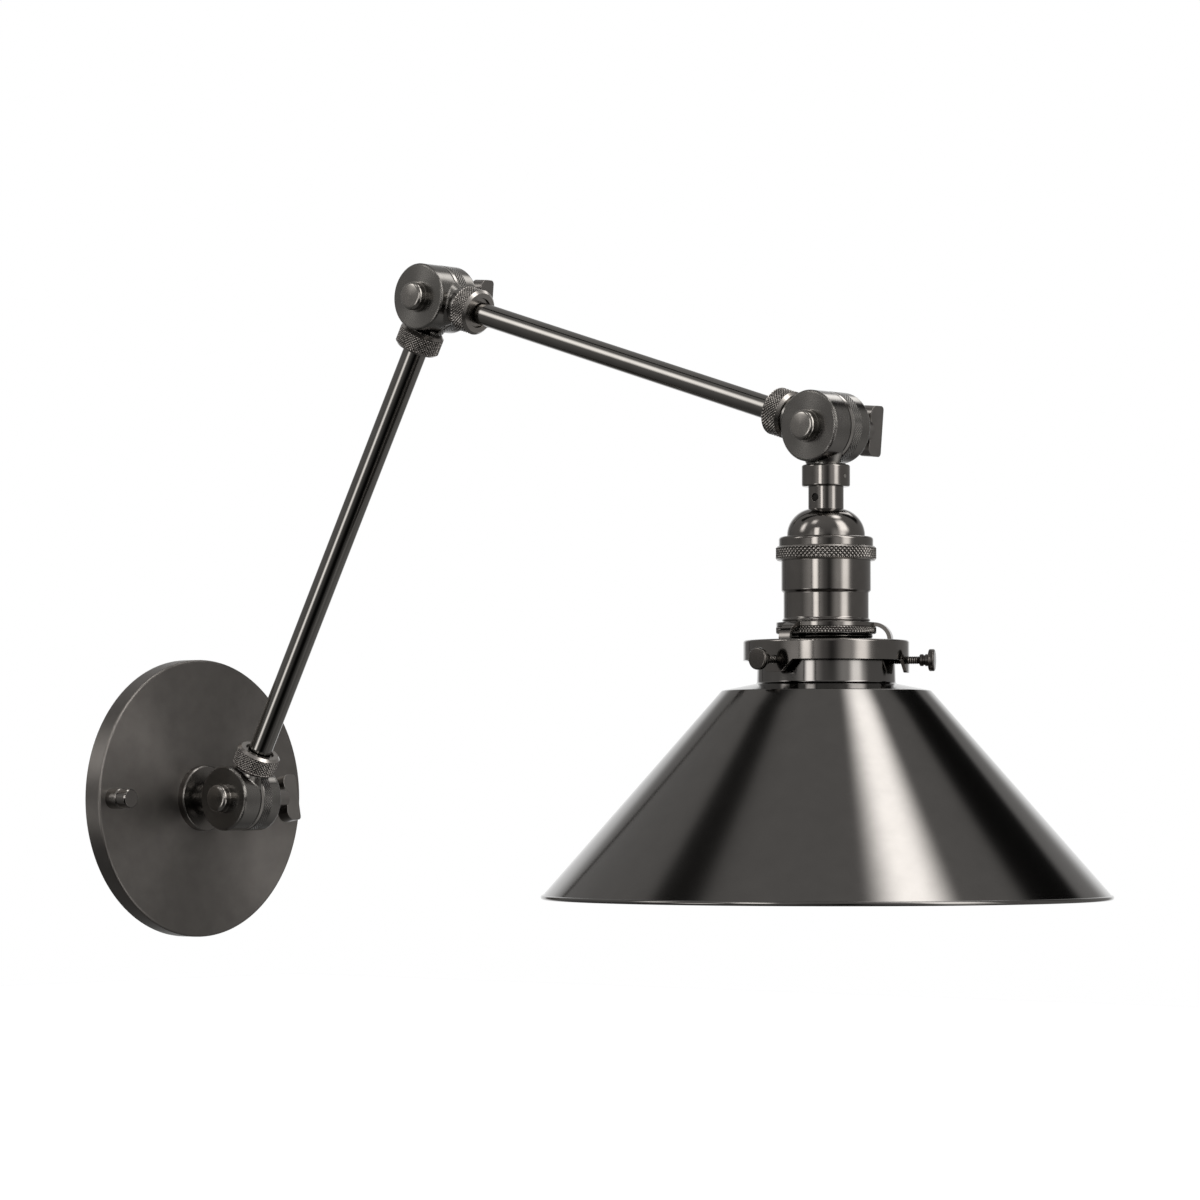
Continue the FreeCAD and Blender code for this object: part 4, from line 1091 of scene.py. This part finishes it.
def round_lamp(tree, direction, at_turn, at_lift, half, soft, strength):
    """A round soft-edged light."""
    turn, lift = math.radians(at_turn), math.radians(at_lift)
    level = TOWARD_CAMERA * math.cos(turn) + TO_THE_RIGHT * math.sin(turn)
    centre = level * math.cos(lift) + UPWARD * math.sin(lift)
    close = node(tree, "Math", {0: length_along(tree, direction, centre), 1: 1.0}, operation="MINIMUM")
    angle = node(tree, "Math", {0: close}, operation="ARCCOSINE")
    away = node(tree, "Math", {0: angle}, operation="DEGREES")
    return product(tree, band(tree, away, 0.0, half, soft), strength)


def studio_light(tree, direction, turn, lift):
    """Strength of the light from each direction: the room, the panels, then the flags."""
    low, high = ROOM_LIFTS
    dim, bright = ROOM_LIGHTS
    rise = node(tree, "MapRange", {"Value": lift, "From Min": low, "From Max": high})
    light = node(tree, "MapRange", {"Value": rise, "To Min": dim, "To Max": bright})
    lights = [panel(tree, turn, lift, **sizes) for sizes in PANELS]
    lights.append(round_lamp(tree, direction, **ROUND_LAMP))
    for added in lights:
        light = node(tree, "Math", {0: light, 1: added}, operation="ADD")
    for sizes in FLAGS:
        light = product(tree, light, rest_of_one(tree, panel(tree, turn, lift, **sizes)))
    return light


def paint_studio():
    """A white backdrop behind the lamp, a dim room in front, and soft panels."""
    world = bpy.data.worlds.new("studio")
    bpy.context.scene.world = world
    world.use_nodes = True
    tree = world.node_tree
    tree.nodes.clear()
    direction = node(tree, "TexCoord").outputs["Generated"]
    rightwards = length_along(tree, direction, TO_THE_RIGHT)
    forwards = length_along(tree, direction, TOWARD_CAMERA)
    turned = node(tree, "Math", {0: rightwards, 1: forwards}, operation="ARCTAN2")
    turn = node(tree, "Math", {0: turned}, operation="DEGREES")
    raised = node(tree, "Math", {0: length_along(tree, direction, UPWARD)}, operation="ARCSINE")
    lift = node(tree, "Math", {0: raised}, operation="DEGREES")
    light = studio_light(tree, direction, turn, lift)
    # the backdrop is white to the camera, and in metal and glass wherever they face it
    half_turn = node(tree, "Math", {0: turn}, operation="ABSOLUTE")
    behind = product(
        tree,
        band(tree, half_turn, 180.0, BACKDROP_HALF, BACKDROP_SOFT),
        band(tree, lift, 0.0, BACKDROP_HALF, BACKDROP_SOFT),
    )
    rays = node(tree, "LightPath").outputs
    mirrored = node(
        tree,
        "Math",
        {0: rays["Is Glossy Ray"], 1: rays["Is Transmission Ray"]},
        operation="MAXIMUM",
    )
    seen = node(
        tree,
        "Math",
        {0: rays["Is Camera Ray"], 1: product(tree, mirrored, behind)},
        operation="MAXIMUM",
    )
    room = node(tree, "Background", {"Color": CLOTH_WHITE, "Strength": light})
    backdrop = node(tree, "Background", {"Color": WHITE, "Strength": 1.0})
    both = node(tree, "MixShader", {0: seen, 1: room, 2: backdrop})
    node(tree, "OutputWorld", {"Surface": both})


def softbox(name, spot, aim, width, height, soft, strength):
    """A soft panel close to the lamp: width and height are half sizes in metres."""
    mesh = bpy.data.meshes.new(name)
    corners = ((-1, -1), (1, -1), (1, 1), (-1, 1))
    reach, rise = width + soft, height + soft
    mesh.from_pydata([(x * reach, y * rise, 0) for x, y in corners], [], [(0, 1, 2, 3)])
    made = bpy.data.objects.new(name, mesh)
    made.location = spot
    made.rotation_euler = (Vector(aim) - Vector(spot)).to_track_quat("Z", "Y").to_euler()
    made.visible_camera = False
    bpy.context.scene.collection.objects.link(made)
    # white diffusion cloth lit from behind, fading towards its edges
    cloth, tree = new_material(name + "_cloth")
    place = node(tree, "SeparateXYZ", {0: node(tree, "TexCoord").outputs["Object"]}).outputs
    across = band(tree, place["X"], 0.0, width, soft)
    upward = band(tree, place["Y"], 0.0, height, soft)
    glow = product(tree, across, upward, strength)
    lit = node(tree, "Emission", {"Color": CLOTH_WHITE, "Strength": glow})
    node(tree, "OutputMaterial", {"Surface": lit})
    made.data.materials.append(cloth)


def lay_floor():
    """White floor paint: lit to full white for the camera, pale grey elsewhere."""
    corners = ((-1, -1), (1, -1), (1, 1), (-1, 1))
    mesh = bpy.data.meshes.new("floor")
    mesh.from_pydata(
        [(x * FLOOR_REACH, y * FLOOR_REACH, FLOOR_HEIGHT) for x, y in corners],
        [],
        [(0, 1, 2, 3)],
    )
    floor = bpy.data.objects.new("floor", mesh)
    bpy.context.scene.collection.objects.link(floor)
    floor_paint, tree = new_material("white_floor_paint")
    paint = node(tree, "BsdfDiffuse", {"Color": FLOOR_GREY, "Roughness": 0.5})
    seen = node(tree, "LightPath").outputs["Is Camera Ray"]
    glow = product(tree, seen, FLOOR_GLOW)
    lift_to_white = node(tree, "Emission", {"Color": WHITE, "Strength": glow})
    both = node(tree, "AddShader", {0: paint, 1: lift_to_white})
    node(tree, "OutputMaterial", {"Surface": both})
    floor.data.materials.append(floor_paint)
    floor.visible_glossy = False


def set_camera():
    data = bpy.data.cameras.new("camera")
    data.lens = CAMERA_LENS
    data.sensor_width = SENSOR_WIDTH
    data.clip_start = 0.05
    data.clip_end = 60.0
    camera = bpy.data.objects.new("camera", data)
    camera.location = CAMERA_SPOT
    camera.rotation_euler = (math.radians(90 + CAMERA_TILT), 0.0, math.radians(CAMERA_TURN))
    bpy.context.scene.collection.objects.link(camera)
    bpy.context.scene.camera = camera


paint_studio()
# The pieces near the wall see the front panel almost from the camera's side,
# the lampholder sees it further left; the side panel lights the knuckles' sides.
softbox(
    "front_softbox",
    spot=(-0.615, -0.489, 0.235),
    aim=(0.0, -0.3, 0.12),
    width=0.075,
    height=0.19,
    soft=0.045,
    strength=5.5,
)
softbox(
    "side_softbox",
    spot=(0.42, -0.25, 0.60),
    aim=(0.0, -0.25, 0.22),
    width=0.10,
    height=0.16,
    soft=0.05,
    strength=3.5,
)
lay_floor()
set_camera()
bpy.context.scene.view_settings.view_transform = "Standard"
